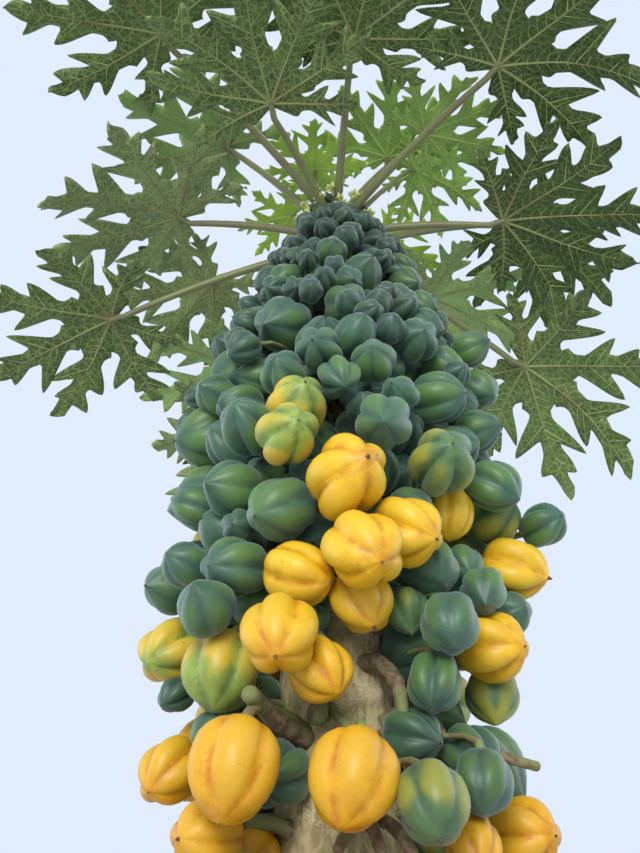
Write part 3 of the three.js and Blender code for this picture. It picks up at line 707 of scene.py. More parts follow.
ripeness = seeded_numbers(23)
for fruit in fruits:
    draw = next(ripeness)
    if fruit["ripe"] is None:
        height = fruit["middle"][2]
        front = beside_patch(azimuth_of(fruit["middle"]), 90)
        ripe = max(0, min(1, (RIPE_HEIGHT - height) / RIPENING + RIPE_DRIFT * (draw - 0.5)))
        fruit["ripe"] = 0 if height > (GREEN_ABOVE_IN_FRONT if front else GREEN_ABOVE) else ripe

young = seeded_numbers(29)
height, azimuth = YOUNG_TOP, 15.0
while height > YOUNG_BOTTOM:
    size = YOUNG_SIZE + YOUNG_GROWTH * (YOUNG_TOP - height) / YOUNG_OVER + YOUNG_DRIFT * next(young)
    distance = trunk_radius(height) + size * (0.5 + 0.5 * next(young))
    fruits.append(fruit_row(azimuth, height, distance, size, -35 + 60 * next(young),
                            60 * (next(young) - 0.5), 1, 0))
    azimuth, height = (azimuth + GOLDEN_TURN) % 360, height - YOUNG_DROP


def stage_of(fruit):
    for stage, least in (("ripe", RIPE_FROM), ("half", HALF_FROM), ("turning", TURNING_FROM)):
        if fruit["ripe"] >= least:
            return stage
    return "small" if fruit["middle"][2] > SMALL_ABOVE or fruit["width"] < SMALL_WIDTH else "green"


print("fruit in all", len(fruits))

# %% [markdown]
# ## Leaves
# Each leaf is a hand of seven lobes, and each lobe is cut again into points that lean forward.
# The side veins lean forward too, so a lobe is laid out as a row of slanting lines from its rib
# to its rim. The rim is a narrow waist with full points standing out of it and round gaps between
# them. Blade, ribs and stalk all use the same bend, so they stay together.

# %% Sizes of the leaves
# Foot height, azimuth, rise of the stalk, stalk reach, blade radius, tilt and turn of the blade, how
# far its lobes spread, and its kind. Apart from the young ones, the kinds are copies of one leaf with
# painted light and shade: the darkest two kinds, which stand against the light, are painted in shade,
# and the pale and lit ones are painted lighter, as if lit from behind by the sky.
LEAVES = {
    "leaf_front": (2468, 5, 11, 300, 270, 8, 7, 0.9, "shaded"),
    "leaf_front_left": (2442, -26, 6, 233, 270, 4, 14, 0.8, "shaded"),
    "leaf_left_high": (2476, -44, 12, 422, 275, 12, 11, 1, "shaded"),
    "leaf_left_inner": (2456, -71, 41, 263, 235, 6, 14, 1, "lit"),
    "leaf_left": (2420, -89, 12, 278, 265, 14, 27, 0.94, "pale"),
    "leaf_left_low": (2378, -101, -16, 403, 250, 16, -7, 1, "shaded"),
    "leaf_left_back": (2356, -125, 31, 331, 225, 12, -11, 1, "pale"),
    "leaf_front_right": (2452, 42, 3, 373, 270, 10, 0, 0.92, "deep"),
    "leaf_right": (2426, 83, -3, 278, 275, 12, -9, 0.74, "deep"),
    "leaf_right_high": (2396, 101, 26, 388, 250, 16, 12, 1, "deep"),
    "leaf_right_low": (2352, 116, -17, 377, 275, 30, -5, 1, "shaded"),
    "leaf_right_back": (2402, 136, 23, 282, 235, 16, -31, 1, "lit"),
    "leaf_back_right": (2452, 160, 20, 360, 250, 14, 0, 1, "lit"),
    "leaf_back": (2414, 184, -2, 400, 250, 20, 0, 1, "lit"),
    "leaf_back_left": (2446, -150, 2, 380, 245, 18, 0, 1, "lit"),
    "leaf_back_low": (2320, -165, -24, 300, 215, 44, 12, 1, "lit"),
    "leaf_hanging_left": (2300, -139, -34, 300, 200, 46, 10, 1, "pale"),
    "young_leaf_right": (2510, 72, 61, 173, 205, 2, -70, 0.86, "young"),
    "young_leaf_outer": (2480, 53, 26, 205, 165, 4, 7, 0.9, "young"),
    "young_leaf_low": (2470, 83, 50, 211, 155, 10, 25, 1, "young"),
    "young_leaf_back": (2478, 150, 50, 260, 180, 10, 0, 1, "youngest"),
    "young_leaf_left": (2498, -134, 56, 167, 120, 8, 39, 1, "youngest"),
    "young_leaf_centre": (2516, -66, 85, 126, 140, 6, 62, 1, "youngest"),
    "young_leaf_inner": (2514, -151, 79, 195, 100, 8, 116, 1, "youngest"),
}
# Angle and share of the radius for each lobe, and the lines that part the lobes.
LOBES = [(-128, 0.56), (-84, 0.8), (-41, 0.94), (0, 1), (41, 0.94), (84, 0.8), (128, 0.56)]
SECTORS = [-152, -106, -62.5, -20.5, 20.5, 62.5, 106, 152]
WAIST = [(0, 0.24), (0.18, 0.22), (0.25, 0.15), (0.31, 0.11), (0.5, 0.1), (0.62, 0.096), (0.74, 0.088),
         (0.84, 0.078), (0.92, 0.057), (0.97, 0.028), (1, 0)]
# Place on the rib, how far before and after it the point begins and ends, and its reach, as shares of
# the lobe's length.
POINTS = [(0.5, 0.13, 0.06, 0.36), (0.73, 0.1, 0.05, 0.22), (0.88, 0.05, 0.03, 0.085)]
STRONG_VEINS = 2
DROOP, FOLD, VEIN_LEAN, VEIN_BOW = 0.2, 0.16, 50, 0.02
WEB, OVERLAP, YOUNG_RADIUS, YOUNG_SLIM = 0.34, 0.05, 210, 0.85
STATION, ACROSS, SHEET = 0.018, 3, 1.1
print("leaves", len(LEAVES))


# %% One side of a lobe
class LobeSide:
    """Where a point of the lobe lies, given its place on the rib and its share of the way to the rim."""

    def __init__(self, number, side, radius, spread, random):
        angle, share = LOBES[number]
        self.slim = YOUNG_SLIM if radius < YOUNG_RADIUS else 1
        self.angle, self.length, self.side, self.radius = angle * spread, share * radius, side, radius
        self.half = abs(SECTORS[number + (side > 0)] - angle) * spread * DEGREE
        self.outer = (number, side) in ((0, -1), (len(LOBES) - 1, 1))
        self.points = []
        for at, before, after, reach in POINTS:
            fuller = 0.85 + 0.3 * next(random)
            self.points.append((at + 0.06 * (next(random) - 0.5), before * fuller, after * fuller,
                                reach * (0.68 + 0.44 * next(random))))
        self.wave, self.phase = 0.012 + 0.02 * next(random), 6.28 * next(random)
        self.curl = self.pitch = 0

    def width(self, place):
        share = min(1, place / self.length)
        waist = along(WAIST, share) * (self.slim if share > WEB - 0.1 else 1)
        rim = waist
        for at, before, after, reach in self.points:
            off = (at - share) / before if share < at else (share - at) / after
            if off < 1:
                rise = (1 - off ** 2.2) ** 1.3 if share < at else (1 - off ** 1.6) ** 1.4
                rim = max(rim, waist + (reach - waist) * rise)
        if self.outer:
            return min(rim * self.length, 0.05 * self.radius + place)
        sector = place * sin(self.half) / sin(VEIN_LEAN * DEGREE - self.half)
        return min(rim * self.length, sector + (OVERLAP * self.radius if share > WEB else 0))

    def point(self, place, share, below=0.0):
        lean, out = VEIN_LEAN * DEGREE, share * self.width(place)
        x, y = place + out * cos(lean), self.side * out * sin(lean)
        free = max(0.0, place / self.length - 0.3)
        y += self.curl * self.length * free ** 2
        east, north = cos(self.angle * DEGREE), sin(self.angle * DEGREE)
        flat = Vector((x * east - y * north, x * north + y * east))
        rise = -DROOP * self.radius * (flat.length / self.radius) ** 2 + FOLD * out * sin(lean)
        rise += self.wave * self.radius * share ** 2 * min(1, 4 * free) * sin(20 * free + self.phase)
        return Vector((flat.x, flat.y, rise + self.pitch * self.length * free ** 2 - below))


# %% Lay out a leaf
def side_veins(lobe):
    """A strong vein to each large point, and finer bowed ones between them."""
    strong = [at for at, *others in lobe.points[:STRONG_VEINS]]
    fine = [at for at in np.arange(0.06, 0.94, 0.064) if min(abs(at - s) for s in strong) > 0.035]
    veins = []
    for at in [*strong, *fine]:
        thick, bow = (0.0056, 0) if at in strong else (0.0036, VEIN_BOW)
        thick *= lobe.radius * (1 - 0.45 * at)
        veins.append([(lobe.point((at - bow * sin(pi * t)) * lobe.length, t, 0.9),
                       thick * (1 - 0.75 * t)) for t in (0, 0.25, 0.5, 0.75, 0.95)])
    return veins


def lay_out_leaf(radius, spread, seed):
    """Points and faces of a blade, and its ribs and side veins as lines, in the blade's own plane."""
    random = seeded_numbers(seed)
    points, faces, ribs, veins = [], [], [], []
    station = STATION * radius
    for number in range(len(LOBES)):
        curl, pitch = 0.6 * (next(random) - 0.5), 0.5 * (next(random) - 0.5)
        for side in (-1, 1):
            lobe = LobeSide(number, side, radius, spread, random)
            lobe.curl, lobe.pitch = curl, pitch
            tips = [at * lobe.length for at, *others in lobe.points] + [lobe.length]
            places = [k * station for k in range(int(lobe.length / station) + 1)]
            places = sorted([p for p in places if min(abs(p - tip) for tip in tips) > 0.4 * station] + tips)
            start = len(points)
            points += [lobe.point(place, t / ACROSS) for place in places for t in range(ACROSS + 1)]
            for k in range(len(places) - 1):
                for t in range(ACROSS):
                    a = start + k * (ACROSS + 1) + t
                    b = a + ACROSS + 1
                    faces.append((a, b, b + 1, a + 1) if side > 0 else (a, a + 1, b + 1, b))
            veins += side_veins(lobe)
        ribs.append([(lobe.point(lobe.length * s, 0, 1.0),
                      radius * (0.0125 - 0.013 * s ** 0.7 + 0.0018 * s)) for s in np.linspace(0, 0.97, 12)])
    return points, faces, ribs, veins


# %% Place the leaves and their stalks
STALK_STEPS, STALK_SWELL, STALK_RADIUS, STALK_TAPER = 22, 6, 8.6, 3.4


def facing(axis):
    """The turn that lays x along an axis and keeps y level."""
    aside = Vector((0, 0, 1)).cross(axis).normalized()
    return Matrix((axis, aside, axis.cross(aside))).transposed()


def bent(start, bow, end, t):
    """A point on a line from start to end that leans towards bow."""
    return start * (1 - t) ** 2 + bow * 2 * t * (1 - t) + end * t * t


def leaf_place(row):
    """Where the stalk starts, and the place and turn of the blade."""
    foot, azimuth, rise, reach, radius, tilt, turn, *others = row
    start = Vector(around(azimuth, trunk_radius(foot), foot))
    level = Vector((*outward(azimuth), 0))
    rib = Vector((*outward(azimuth + turn), 0)) * cos(tilt * DEGREE)
    rib -= Vector((0, 0, sin(tilt * DEGREE)))
    place = facing(rib).to_4x4()
    place.translation = start + level * reach * cos(rise * DEGREE) + Vector(
        (0, 0, reach * sin(rise * DEGREE)))
    return start, place


def stalk_line(row):
    """The stalk arches from the trunk to just behind the heart of the blade."""
    foot, azimuth, rise, reach, radius, tilt, turn, *others = row
    start, place = leaf_place(row)
    inside = Vector(around(azimuth, trunk_radius(foot) * 0.55, foot))
    bend = place @ Vector((-0.09 * radius, 0, -0.038 * radius))
    arch = (start + bend) / 2 + Vector((0, 0, 0.09 * reach))
    path = [inside] + [bent(start, arch, bend, t) for t in np.linspace(0, 1, STALK_STEPS)]
    path += [place @ Vector(p) for p in ((-0.045 * radius, 0, -0.014 * radius), (0.01 * radius, 0, -1.5))]
    size = min(1, radius / 220)
    thick = [STALK_RADIUS + STALK_SWELL * exp(-k / 1.5) - STALK_TAPER * k / len(path)
             for k in range(len(path))]
    return [(p, r * size) for p, r in zip(path, thick)]


stalks = {name: stalk_line(row) for name, row in LEAVES.items()}
print("leaf stalks", len(stalks), "longest reach", max(row[3] for row in LEAVES.values()), "mm")

# %% [markdown]
# Seen from below, a leaf shows its duller underside with raised pale veins and a fine net between
# them. The upper side is darker and glossier. Solidify makes both sides of one sheet and gives the
# lower side the second material.

# %% Leaf materials
def vein_net(tree, place, scale, edge):
    """Lines of a net: 1 on the edges of its cells."""
    cells = step(tree, "ShaderNodeTexVoronoi", {"Vector": place, "Scale": scale},
                 feature="DISTANCE_TO_EDGE").outputs["Distance"]
    return calculate(tree, "SUBTRACT", 1.0, band(tree, cells, 0.005, edge))


def leaf_finish(name, colour, vein, roughness, net_strength, sheen=0.0):
    material, tree, shader = finish(name, colour, roughness, Specular_IOR_Level=0.35, Sheen_Weight=sheen)
    place = object_place(tree)
    wobble = step(tree, "ShaderNodeTexNoise", {"Vector": place, "Scale": 60.0, "Detail": 2.0}).outputs[1]
    moved = step(tree, "ShaderNodeVectorMath", {0: wobble, 1: (0.012, 0.012, 0.012), 2: place},
                 operation="MULTIPLY_ADD").outputs[0]
    fine = calculate(tree, "MULTIPLY", 0.75, vein_net(tree, moved, 130.0, 0.08))
    net = calculate(tree, "MAXIMUM", fine, vein_net(tree, moved, 62.0, 0.06))
    base = blend_colours(tree, patches(tree, 9, 2, 0.35, 0.7), tuple(0.78 * c for c in colour),
                         tuple(1.2 * c for c in colour))
    base = blend_colours(tree, calculate(tree, "MULTIPLY", net, net_strength), base, vein)
    colour_and_relief(tree, shader, base, net, 0.0006, 0.35)
    return material


# The upper side and its veins, the under side and its veins, and the strength of its net and sheen.
# Painted light and shade: the kinds other than the young ones are one leaf made darker or lighter for how
# it is lit, most of all on the under side.
LEAF_COLOURS = {
    "deep": ((0.035, 0.1, 0.018), (0.14, 0.22, 0.06), (0.032, 0.061, 0.009), (0.18, 0.26, 0.06), 0.58, 0.1),
    "shaded": ((0.035, 0.1, 0.018), (0.14, 0.22, 0.06), (0.062, 0.108, 0.022), (0.27, 0.36, 0.11),
               0.66, 0.1),
    "pale": ((0.04, 0.11, 0.02), (0.15, 0.24, 0.07), (0.158, 0.222, 0.069), (0.42, 0.5, 0.22), 0.62, 0.1),
    "lit": ((0.045, 0.13, 0.02), (0.16, 0.26, 0.07), (0.188, 0.308, 0.087), (0.4, 0.52, 0.2), 0.52, 0.15),
    "young": ((0.1, 0.24, 0.03), (0.26, 0.4, 0.1), (0.21, 0.35, 0.06), (0.4, 0.56, 0.18), 0.5, 0.1),
    "youngest": ((0.22, 0.4, 0.04), (0.36, 0.5, 0.12), (0.3, 0.48, 0.045), (0.45, 0.6, 0.15), 0.35, 0.1),
}
rib_finish = layered_finish("leaf_ribs", 0.5, (0.24, 0.27, 0.1), [
    ((0.21, 0.17, 0.075), (14, 2, 0.46, 0.64))])
vein_finish = layered_finish("leaf_veins", 0.55, (0.27, 0.34, 0.11), [
    ((0.38, 0.45, 0.19), (20, 2, 0.4, 0.65))])
young_vein_finish = layered_finish("young_leaf_veins", 0.5, (0.3, 0.44, 0.1), [
    ((0.42, 0.56, 0.18), (20, 2, 0.4, 0.65))])
stalk_finish = layered_finish("leaf_stalks", 0.45, (0.15, 0.175, 0.06), [
    ((0.155, 0.135, 0.07), (26, 3, 0.42, 0.66)), ((0.07, 0.055, 0.035), (240, 2, 0.68, 0.76))],
    (160, 3, 0.0006, 0.3), Specular_IOR_Level=0.45)
print("leaf colours", len(LEAF_COLOURS))

# %% Make the blades
# The seed of each kind's first leaf; the next leaf of the kind has the next one.
FIRST_SEEDS = {"deep": 150, "shaded": 100, "pale": 170, "lit": 200, "young": 300, "youngest": 303}


def in_metres(line):
    return [(p * MM, radius * MM) for p, radius in line]


def make_sheet(piece):
    """Joins the lobes' edges and gives the blade its thickness."""
    work = bmesh.new()
    work.from_mesh(piece.data)
    bmesh.ops.remove_doubles(work, verts=work.verts, dist=0.0004)
    bmesh.ops.dissolve_degenerate(work, edges=work.edges, dist=0.0001)
    work.to_mesh(piece.data)
    work.free()
    solid = piece.modifiers.new("sheet", "SOLIDIFY")
    solid.thickness, solid.offset, solid.material_offset = SHEET * MM, -1, 1
    piece.data = as_modified(piece)
    piece.modifiers.clear()


def make_blades(kind, seed):
    young, nodes = kind.startswith("young"), [name for name, row in LEAVES.items() if row[-1] == kind]
    upper, upper_vein, under, under_vein, net, sheen = LEAF_COLOURS[kind]
    finishes = (
        leaf_finish(f"upper_side_{kind}", upper, upper_vein, 0.42 if young else 0.4, 0.3 if young else 0.4),
        leaf_finish(f"under_side_{kind}", under, under_vein, 0.55 if young else 0.6, net, sheen))
    points, faces, rib_lines, vein_lines = [], [], [], []
    for number, node in enumerate(nodes):
        start, place = leaf_place(LEAVES[node])
        flat, sheet, ribs, veins = lay_out_leaf(LEAVES[node][4], LEAVES[node][7], seed + number)
        faces += [tuple(len(points) + k for k in face) for face in sheet]
        points += [place @ p * MM for p in flat]
        rib_lines += [in_metres([(place @ p, r) for p, r in line]) for line in ribs]
        vein_lines += [in_metres([(place @ p, r) for p, r in line]) for line in veins]
    name, slot = f"leaves_{kind}", "young_leaf" if young else "leaf"
    piece = mesh_object(name, points, faces, *finishes)
    make_sheet(piece)
    keep(piece, slot, *nodes)
    keep(limbs(name + "_ribs", rib_lines, young_vein_finish if young else rib_finish, 6), slot)
    keep(limbs(name + "_veins", vein_lines, young_vein_finish if young else vein_finish, 4), slot)


for kind, seed in FIRST_SEEDS.items():
    make_blades(kind, seed)
keep(limbs("leaf_stalks", [in_metres(line) for line in stalks.values()], stalk_finish, 14), "leaf")

# %% [markdown]
# ## Setting out the fruit
# Every fruit points away from the trunk, and the heavier ones low down hang from it. Its stalk
# leaves the trunk just above and behind it. A dry scrap of the flower stays on the tip of most.

# %% Turn, size and clear the fruit
# The shapes of each stage, and how much longer and wider they are drawn than the rule's balls.
STAGES = {"small": (small_shapes, 0.88, 1.08), "green": (green_shapes, 0.93, 1.1),
          "turning": (green_shapes, 0.93, 1.1), "half": (ripe_shapes, 0.92, 1.1),
          "ripe": (ripe_shapes, 0.92, 1.1)}
# Where a fruit hangs this steeply its star shows, so a ripe one takes one of the plumper shapes.
PLUMP_FROM, LEAST_ROOM = 65, 0.6
SAG, SAG_FROM, SAG_OVER = 45, 1560, 150
UPPER_HANG = [(1800, 0), (1900, 12), (2200, 16)]


def room_at(fruit):
    """How much of its size a fruit may keep beside the leaf stalks."""
    return min(1.0, *[(dist(p, fruit["middle"]) - r) / (0.52 * fruit["width"])
                      for line in stalks.values() for p, r in line[1:]])


rolls = seeded_numbers(41)
placed = []
for fruit in fruits:
    roll, shape, sag = 2 * pi * next(rolls), int(6 * next(rolls)), next(rolls)
    room, height, hang = room_at(fruit), fruit["middle"][2], fruit["droop"]
    if room < LEAST_ROOM:
        continue
    if fruit["hold"] != SHOWN_HOLD:
        hang += SAG * sag * max(0, min(1, (SAG_FROM - height) / SAG_OVER)) + along(UPPER_HANG, height)
    if fruit["ripe"] >= HALF_FROM:
        shape = shape // 2 + (0 if hang > PLUMP_FROM else 3)
    stage = stage_of(fruit)
    shapes, longer, wider = STAGES[stage]
    length, width = fruit["length"] * longer * room, fruit["width"] * wider * room
    axis = Vector(fruit_axis(fruit, hang))
    base = Vector(fruit["middle"]) - axis * length / 2
    turn = (facing(axis) @ Matrix.Rotation(roll, 3, "X")).to_euler()
    placed.append({"base": base, "tip": base + axis * length, "axis": axis, "length": length,
                   "width": width, "turn": turn, "shape": shape, "stage": stage})
print("fruit shown", len(placed), "left out", len(fruits) - len(placed))

# %% Make the fruit
MOST_IN_A_PIECE, GREEN_BUNCHES = 140, 19
bunches = sorted(n for n in NODES if n.startswith("fruit_bunch"))
replaced = {"fruit_green": bunches[:GREEN_BUNCHES], "fruit_ripe": bunches[GREEN_BUNCHES:]}
for stage, skin in SKINS.items():
    rows = [(f["base"] * MM, f["turn"], Vector((f["length"], f["width"], f["width"])) * MM, f["shape"])
            for f in placed if f["stage"] == stage]
    for part in range(0, len(rows), MOST_IN_A_PIECE):
        name = f"fruit_{stage}" + (f"_{part // MOST_IN_A_PIECE + 1}" if part else "")
        piece = set_out(name, rows[part:part + MOST_IN_A_PIECE], STAGES[stage][0], skin)
        keep(piece, "ripe_fruit" if stage in ("half", "ripe") else "green_fruit", *replaced.get(name, []))
for group in (green_shapes, ripe_shapes, small_shapes):
    clear_shapes(group)


# %% Dry tips of the fruit
def pointed_ring(place, width, even, odd):
    """A ring of ten points round x, the even and the odd ones at their own share of the width."""
    reach = [0.5 * width * (odd if k % 2 else even) for k in range(10)]
    return [(place, r * cos(k * pi / 5), r * sin(k * pi / 5)) for k, r in enumerate(reach)]


STAR, STAR_DIP = [(0.0, 1.0), (0.3, 0.66), (0.8, 0.34)], 0.45
TIP_SHARE, TIP_SINK, TIP_LEAST, TIP_SIZE = 0.75, 1.2, 30, Vector((0.07, 0.08, 0.08))

tip_shapes = shape_set("tip_shape", [
    ring_skin([pointed_ring(*row, STAR_DIP, 1) for row in STAR], (-0.25, 0, 0), (1, 0, 0))])
tip_finish = layered_finish("dry_tips", 0.85, (0.05, 0.028, 0.016), [
    ((0.16, 0.09, 0.05), (420, 2, 0.4, 0.6))], (600, 2, 0.0005, 0.6))
scraps = seeded_numbers(47)
tip_rows = []
for f in placed:
    draw, size = next(scraps), 0.5 + 0.6 * next(scraps)
    if draw < TIP_SHARE:
        tip_rows.append(((f["tip"] - f["axis"] * TIP_SINK) * MM, f["turn"],
                         TIP_SIZE * size * max(TIP_LEAST, f["width"]) * MM, 0))
keep(set_out("fruit_tips", tip_rows, tip_shapes, tip_finish), "woody_stalk")
clear_shapes(tip_shapes)

# %% Stalks of the fruit
STEM_RADIUS, STEM_WAIST, FULL_WIDTH = 6.5, 2.5, 80

stem_finish = layered_finish("fruit_stalks", 0.55, (0.17, 0.24, 0.07), [
    ((0.17, 0.13, 0.06), (45, 3, 0.42, 0.6))], (260, 3, 0.0008, 0.5))
stem_lines = []
for f in placed:
    base = f["base"] + f["axis"] * 0.03 * f["length"]
    bark_at = trunk_radius(base.z)
    gap = dist(base[:2], trunk_middle(base.z)) - bark_at
    start = Vector(around(azimuth_of(base), bark_at * 0.85, base.z + 6 + 0.3 * max(0, gap)))
    bow = base - f["axis"] * (0.4 * max(4, gap))
    size = f["width"] / FULL_WIDTH
    stem_lines.append(in_metres([
        (bent(start, bow, base, t), (STEM_RADIUS - STEM_WAIST * sin(pi * t)) * size)
        for t in np.linspace(0, 1, 6)]))
keep(limbs("fruit_stalks", stem_lines, stem_finish, 8), "woody_stalk")

# %% [markdown]
# ## Trunk
# A papaya's trunk is never smooth. Each fallen leaf leaves an oval scar with a raised lip, and
# the scars climb in the same spiral as the leaves. Between them the bark is finely cracked along
# the trunk. The relief is in the mesh, so that it shows from the side as well.

# %% Relief of the bark
TRUNK_FOOT, AROUND, UP_STEPS = 375.35, 130, 400
FIRST_SCAR, SCAR_STEP, SCAR_WIDTH, SCAR_HEIGHT, BARE_NECK = 392, 9.5, 17, 9, 20
KNOB_RISE, KNOB_WIDTH, KNOB_HEIGHT, KNOB_DEPTH = 17, 8, 7, 2.6
LIP, LIP_WIDTH, HOLLOW, HOLLOW_WIDTH, OLD_LUMP, LUMP_DRIFT = 1.5, 0.24, 0.9, 0.75, 5.5, 0.3
# Azimuth, height, half width and half height of the thick scars where old fruit stalks broke off.
OLD_SCARS = [(13, 1470, 11, 7), (35, 1449, 14, 11), (10, 1446, 7, 5), (-6, 1330, 12, 8), (20, 1340, 9, 7)]
# Depth, waves round the trunk, height of a wave and seed.
ROUGHNESS = [(2.2, 7, 70, 1), (1.3, 38, 55, 2), (0.7, 75, 16, 3)]

heights = np.linspace(TRUNK_FOOT, TRUNK_TOP, UP_STEPS)[:, None]
angles = (np.arange(AROUND) / AROUND * 360)[None, :]
radii = np.array([trunk_radius(h) for h in heights[:, 0]])[:, None]


def soft_noise(x, y, seed=0, turns=10 ** 6):
    """Smooth noise from -1 to 1 for relief in a mesh; it repeats after that many whole steps of x."""
    def corner(i, j):
        n = np.sin((i % turns) * 127.1 + j * 311.7 + seed * 74.7) * 43758.5453
        return 2 * (n - np.floor(n)) - 1
    i, j = np.floor(x), np.floor(y)
    u, v = x - i, y - j
    u, v = u * u * (3 - 2 * u), v * v * (3 - 2 * v)
    low = corner(i, j) * (1 - u) + corner(i + 1, j) * u
    high = corner(i, j + 1) * (1 - u) + corner(i + 1, j + 1) * u
    return low * (1 - v) + high * v


def rough(waves, tall, seed):
    return soft_noise(angles / 360 * waves, heights / tall, seed, waves)


def from_scar(azimuth, height, wide, tall):
    """How far each point of the bark is from a scar's middle: 1 on its rim."""
    along_bark = signed_turn(angles, azimuth) * DEGREE * radii
    return np.sqrt((along_bark / wide) ** 2 + ((heights - height) / tall) ** 2)


relief = sum(depth * rough(waves, tall, seed) for depth, waves, tall, seed in ROUGHNESS)
scars = np.zeros_like(relief)
for number in range(int((TRUNK_TOP - BARE_NECK - TRUNK_FOOT) / SCAR_STEP)):
    height, azimuth = FIRST_SCAR + number * SCAR_STEP, (number * GOLDEN_TURN) % 360
    out = from_scar(azimuth, height, SCAR_WIDTH, SCAR_HEIGHT)
    knob = from_scar(azimuth, height + KNOB_RISE, KNOB_WIDTH, KNOB_HEIGHT)
    relief = relief + LIP * np.exp(-((out - 1) / LIP_WIDTH) ** 2)
    relief = relief - HOLLOW * np.exp(-(out / HOLLOW_WIDTH) ** 4)
    relief = relief + KNOB_DEPTH * np.exp(-knob ** 2)
    scars = np.maximum(scars, np.maximum(np.exp(-(out / 0.95) ** 4), 0.8 * np.exp(-knob ** 2)))
for scar in OLD_SCARS:
    inside = np.exp(-from_scar(*scar) ** 4)
    relief = relief + OLD_LUMP * (1 + LUMP_DRIFT * rough(60, 12, 5)) * inside
    scars = np.maximum(scars, 1.6 * inside)
print("relief of the bark from", round(relief.min(), 1), "to", round(relief.max(), 1), "mm")

# %% Make the trunk
GRAIN = (1, 1, 0.4)
bark, tree, shader = finish("bark", (0.24, 0.2, 0.15), 0.85)
scar = step(tree, "ShaderNodeAttribute", attribute_name="scar").outputs["Fac"]
lichen = calculate(tree, "MULTIPLY", patches(tree, 24, 3, 0.44, 0.58), patches(tree, 360, 3, 0.55, 0.62))
base = layered(tree, (0.275, 0.215, 0.105), [
    (patches(tree, 130, 5, 0.36, 0.66, 1, GRAIN, 0.4), (0.52, 0.42, 0.21)),
    (calculate(tree, "MULTIPLY", scar, 0.55), (0.46, 0.36, 0.22)),
    (lichen, (0.52, 0.5, 0.3)),
    (patches(tree, 16, 4, 0.5, 0.64, 0.6), (0.18, 0.185, 0.07)),
    (by_height(tree, 1.22, 0.9, 0.6), (0.17, 0.135, 0.09))])
colour_and_relief(tree, shader, base, clouds(tree, 210, 5, GRAIN), 0.002, 0.7)

rings = []
for row, height in enumerate(heights[:, 0]):
    x, y = trunk_middle(height)
    r = radii[row, 0] + relief[row] * min(1.0, (UP_STEPS - row) / 8)
    a = angles[0] * DEGREE
    rings.append(np.stack([x + np.sin(a) * r, y - np.cos(a) * r, np.full(AROUND, height)], 1) * MM)
ends = [tuple(n * MM for n in (*trunk_middle(height), height)) for height in (TRUNK_FOOT, TRUNK_TIP)]
trunk = mesh_object("trunk_bark", *ring_skin([list(map(tuple, ring)) for ring in rings], *ends), bark)
give(trunk.data, "scar", "FLOAT", np.concatenate([[0], scars.ravel(), [0]]))
keep(trunk, "bark", "trunk")

# %% [markdown]
# ## Old stalks
# Where ripe fruit were picked, woody stalks stay on the trunk. They are limbs again, with uneven
# thickness and bark of their own.

# %% Make the old stalks
# Corners as azimuth, distance and height, and the radius at each.
OLD_STALKS = {
    "old_stalk_left": ([(-33, 60, 1398), (-34, 92, 1398), (-33, 130, 1401), (-30, 172, 1398)],
                       (12, 11, 10, 9)),
    "old_stalk_right": ([(27, 60, 1482), (30, 88, 1472), (34, 108, 1440), (33, 116, 1402)], (10, 9, 8, 6)),
    "old_stalk_low": ([(62, 60, 1392), (60, 110, 1388), (66, 160, 1378), (72, 205, 1366)], (10, 8, 6, 5)),
    "knob": ([(-16, 60, 1424), (-15, 78, 1416), (-14, 92, 1408)], (10, 11, 11)),
    "knob_stem": ([(-7, 60, 1432), (-3, 82, 1412), (4, 104, 1388), (4, 120, 1368)], (6, 5.5, 5, 5)),
    "low_fork": ([(12, 60, 1324), (12, 80, 1318), (12, 98, 1304)], (12, 10, 8)),
    "low_fork_1": ([(12, 92, 1308), (4, 112, 1292), (-3, 124, 1268)], (7, 6, 5)),
    "low_fork_2": ([(12, 92, 1308), (13, 114, 1290), (14, 127, 1264)], (7, 6, 5)),
    "low_fork_3": ([(12, 92, 1308), (22, 112, 1296), (29, 124, 1270)], (7, 6, 5)),
    "left_foot": ([(-50, 60, 1312), (-52, 90, 1316), (-58, 112, 1306), (-62, 124, 1292)], (9, 8, 7, 6)),
    "right_twig": ([(44, 66, 1420), (46, 92, 1424), (52, 116, 1412), (50, 132, 1390)], (7, 6, 5, 5)),
    "left_twig": ([(-34, 98, 1399), (-42, 112, 1390), (-50, 124, 1392)], (5, 5, 4)),
}
uneven = seeded_numbers(57)


def woody_line(path, sizes, points=19):
    """A smooth line through the corners, uneven in thickness, with a rounded end."""
    corners = [Vector(around(*corner)) for corner in path]
    line = []
    for t in np.linspace(0, len(path) - 1, points):
        k = min(int(t), len(path) - 2)
        before, a, b, after = (corners[max(0, min(len(path) - 1, k + shift))] for shift in (-1, 0, 1, 2))
        u = t - k
        p = 0.5 * ((2 * a) + (b - before) * u + (2 * before - 5 * a + 4 * b - after) * u * u
                   + (3 * a - before - 3 * b + after) * u ** 3)
        r = sizes[k] * (1 - u) + sizes[k + 1] * u
        line.append((p * MM, r * (0.92 + 0.2 * next(uneven)) * MM))
    (end, thick), way = line[-1], (line[-1][0] - line[-2][0]).normalized()
    return line + [(end + way * 0.4 * thick, 0.8 * thick), (end + way * 0.62 * thick, 0.35 * thick)]


wood = layered_finish("woody_stalks", 0.85, (0.11, 0.075, 0.04), [
    ((0.21, 0.155, 0.085), (120, 5, 0.42, 0.6)), ((0.16, 0.18, 0.065), (26, 3, 0.48, 0.62))],
    (260, 5, 0.0015, 0.7))
keep(limbs("old_stalks", [woody_line(*stalk) for stalk in OLD_STALKS.values()], wood, 14),
     "woody_stalk", "old_stalk_left", "old_stalk_right", "old_stalk_low")

# %% [markdown]
# ## Flower buds
# Yellow-green buds stand in small clusters under the crown, each cluster on a short stem.

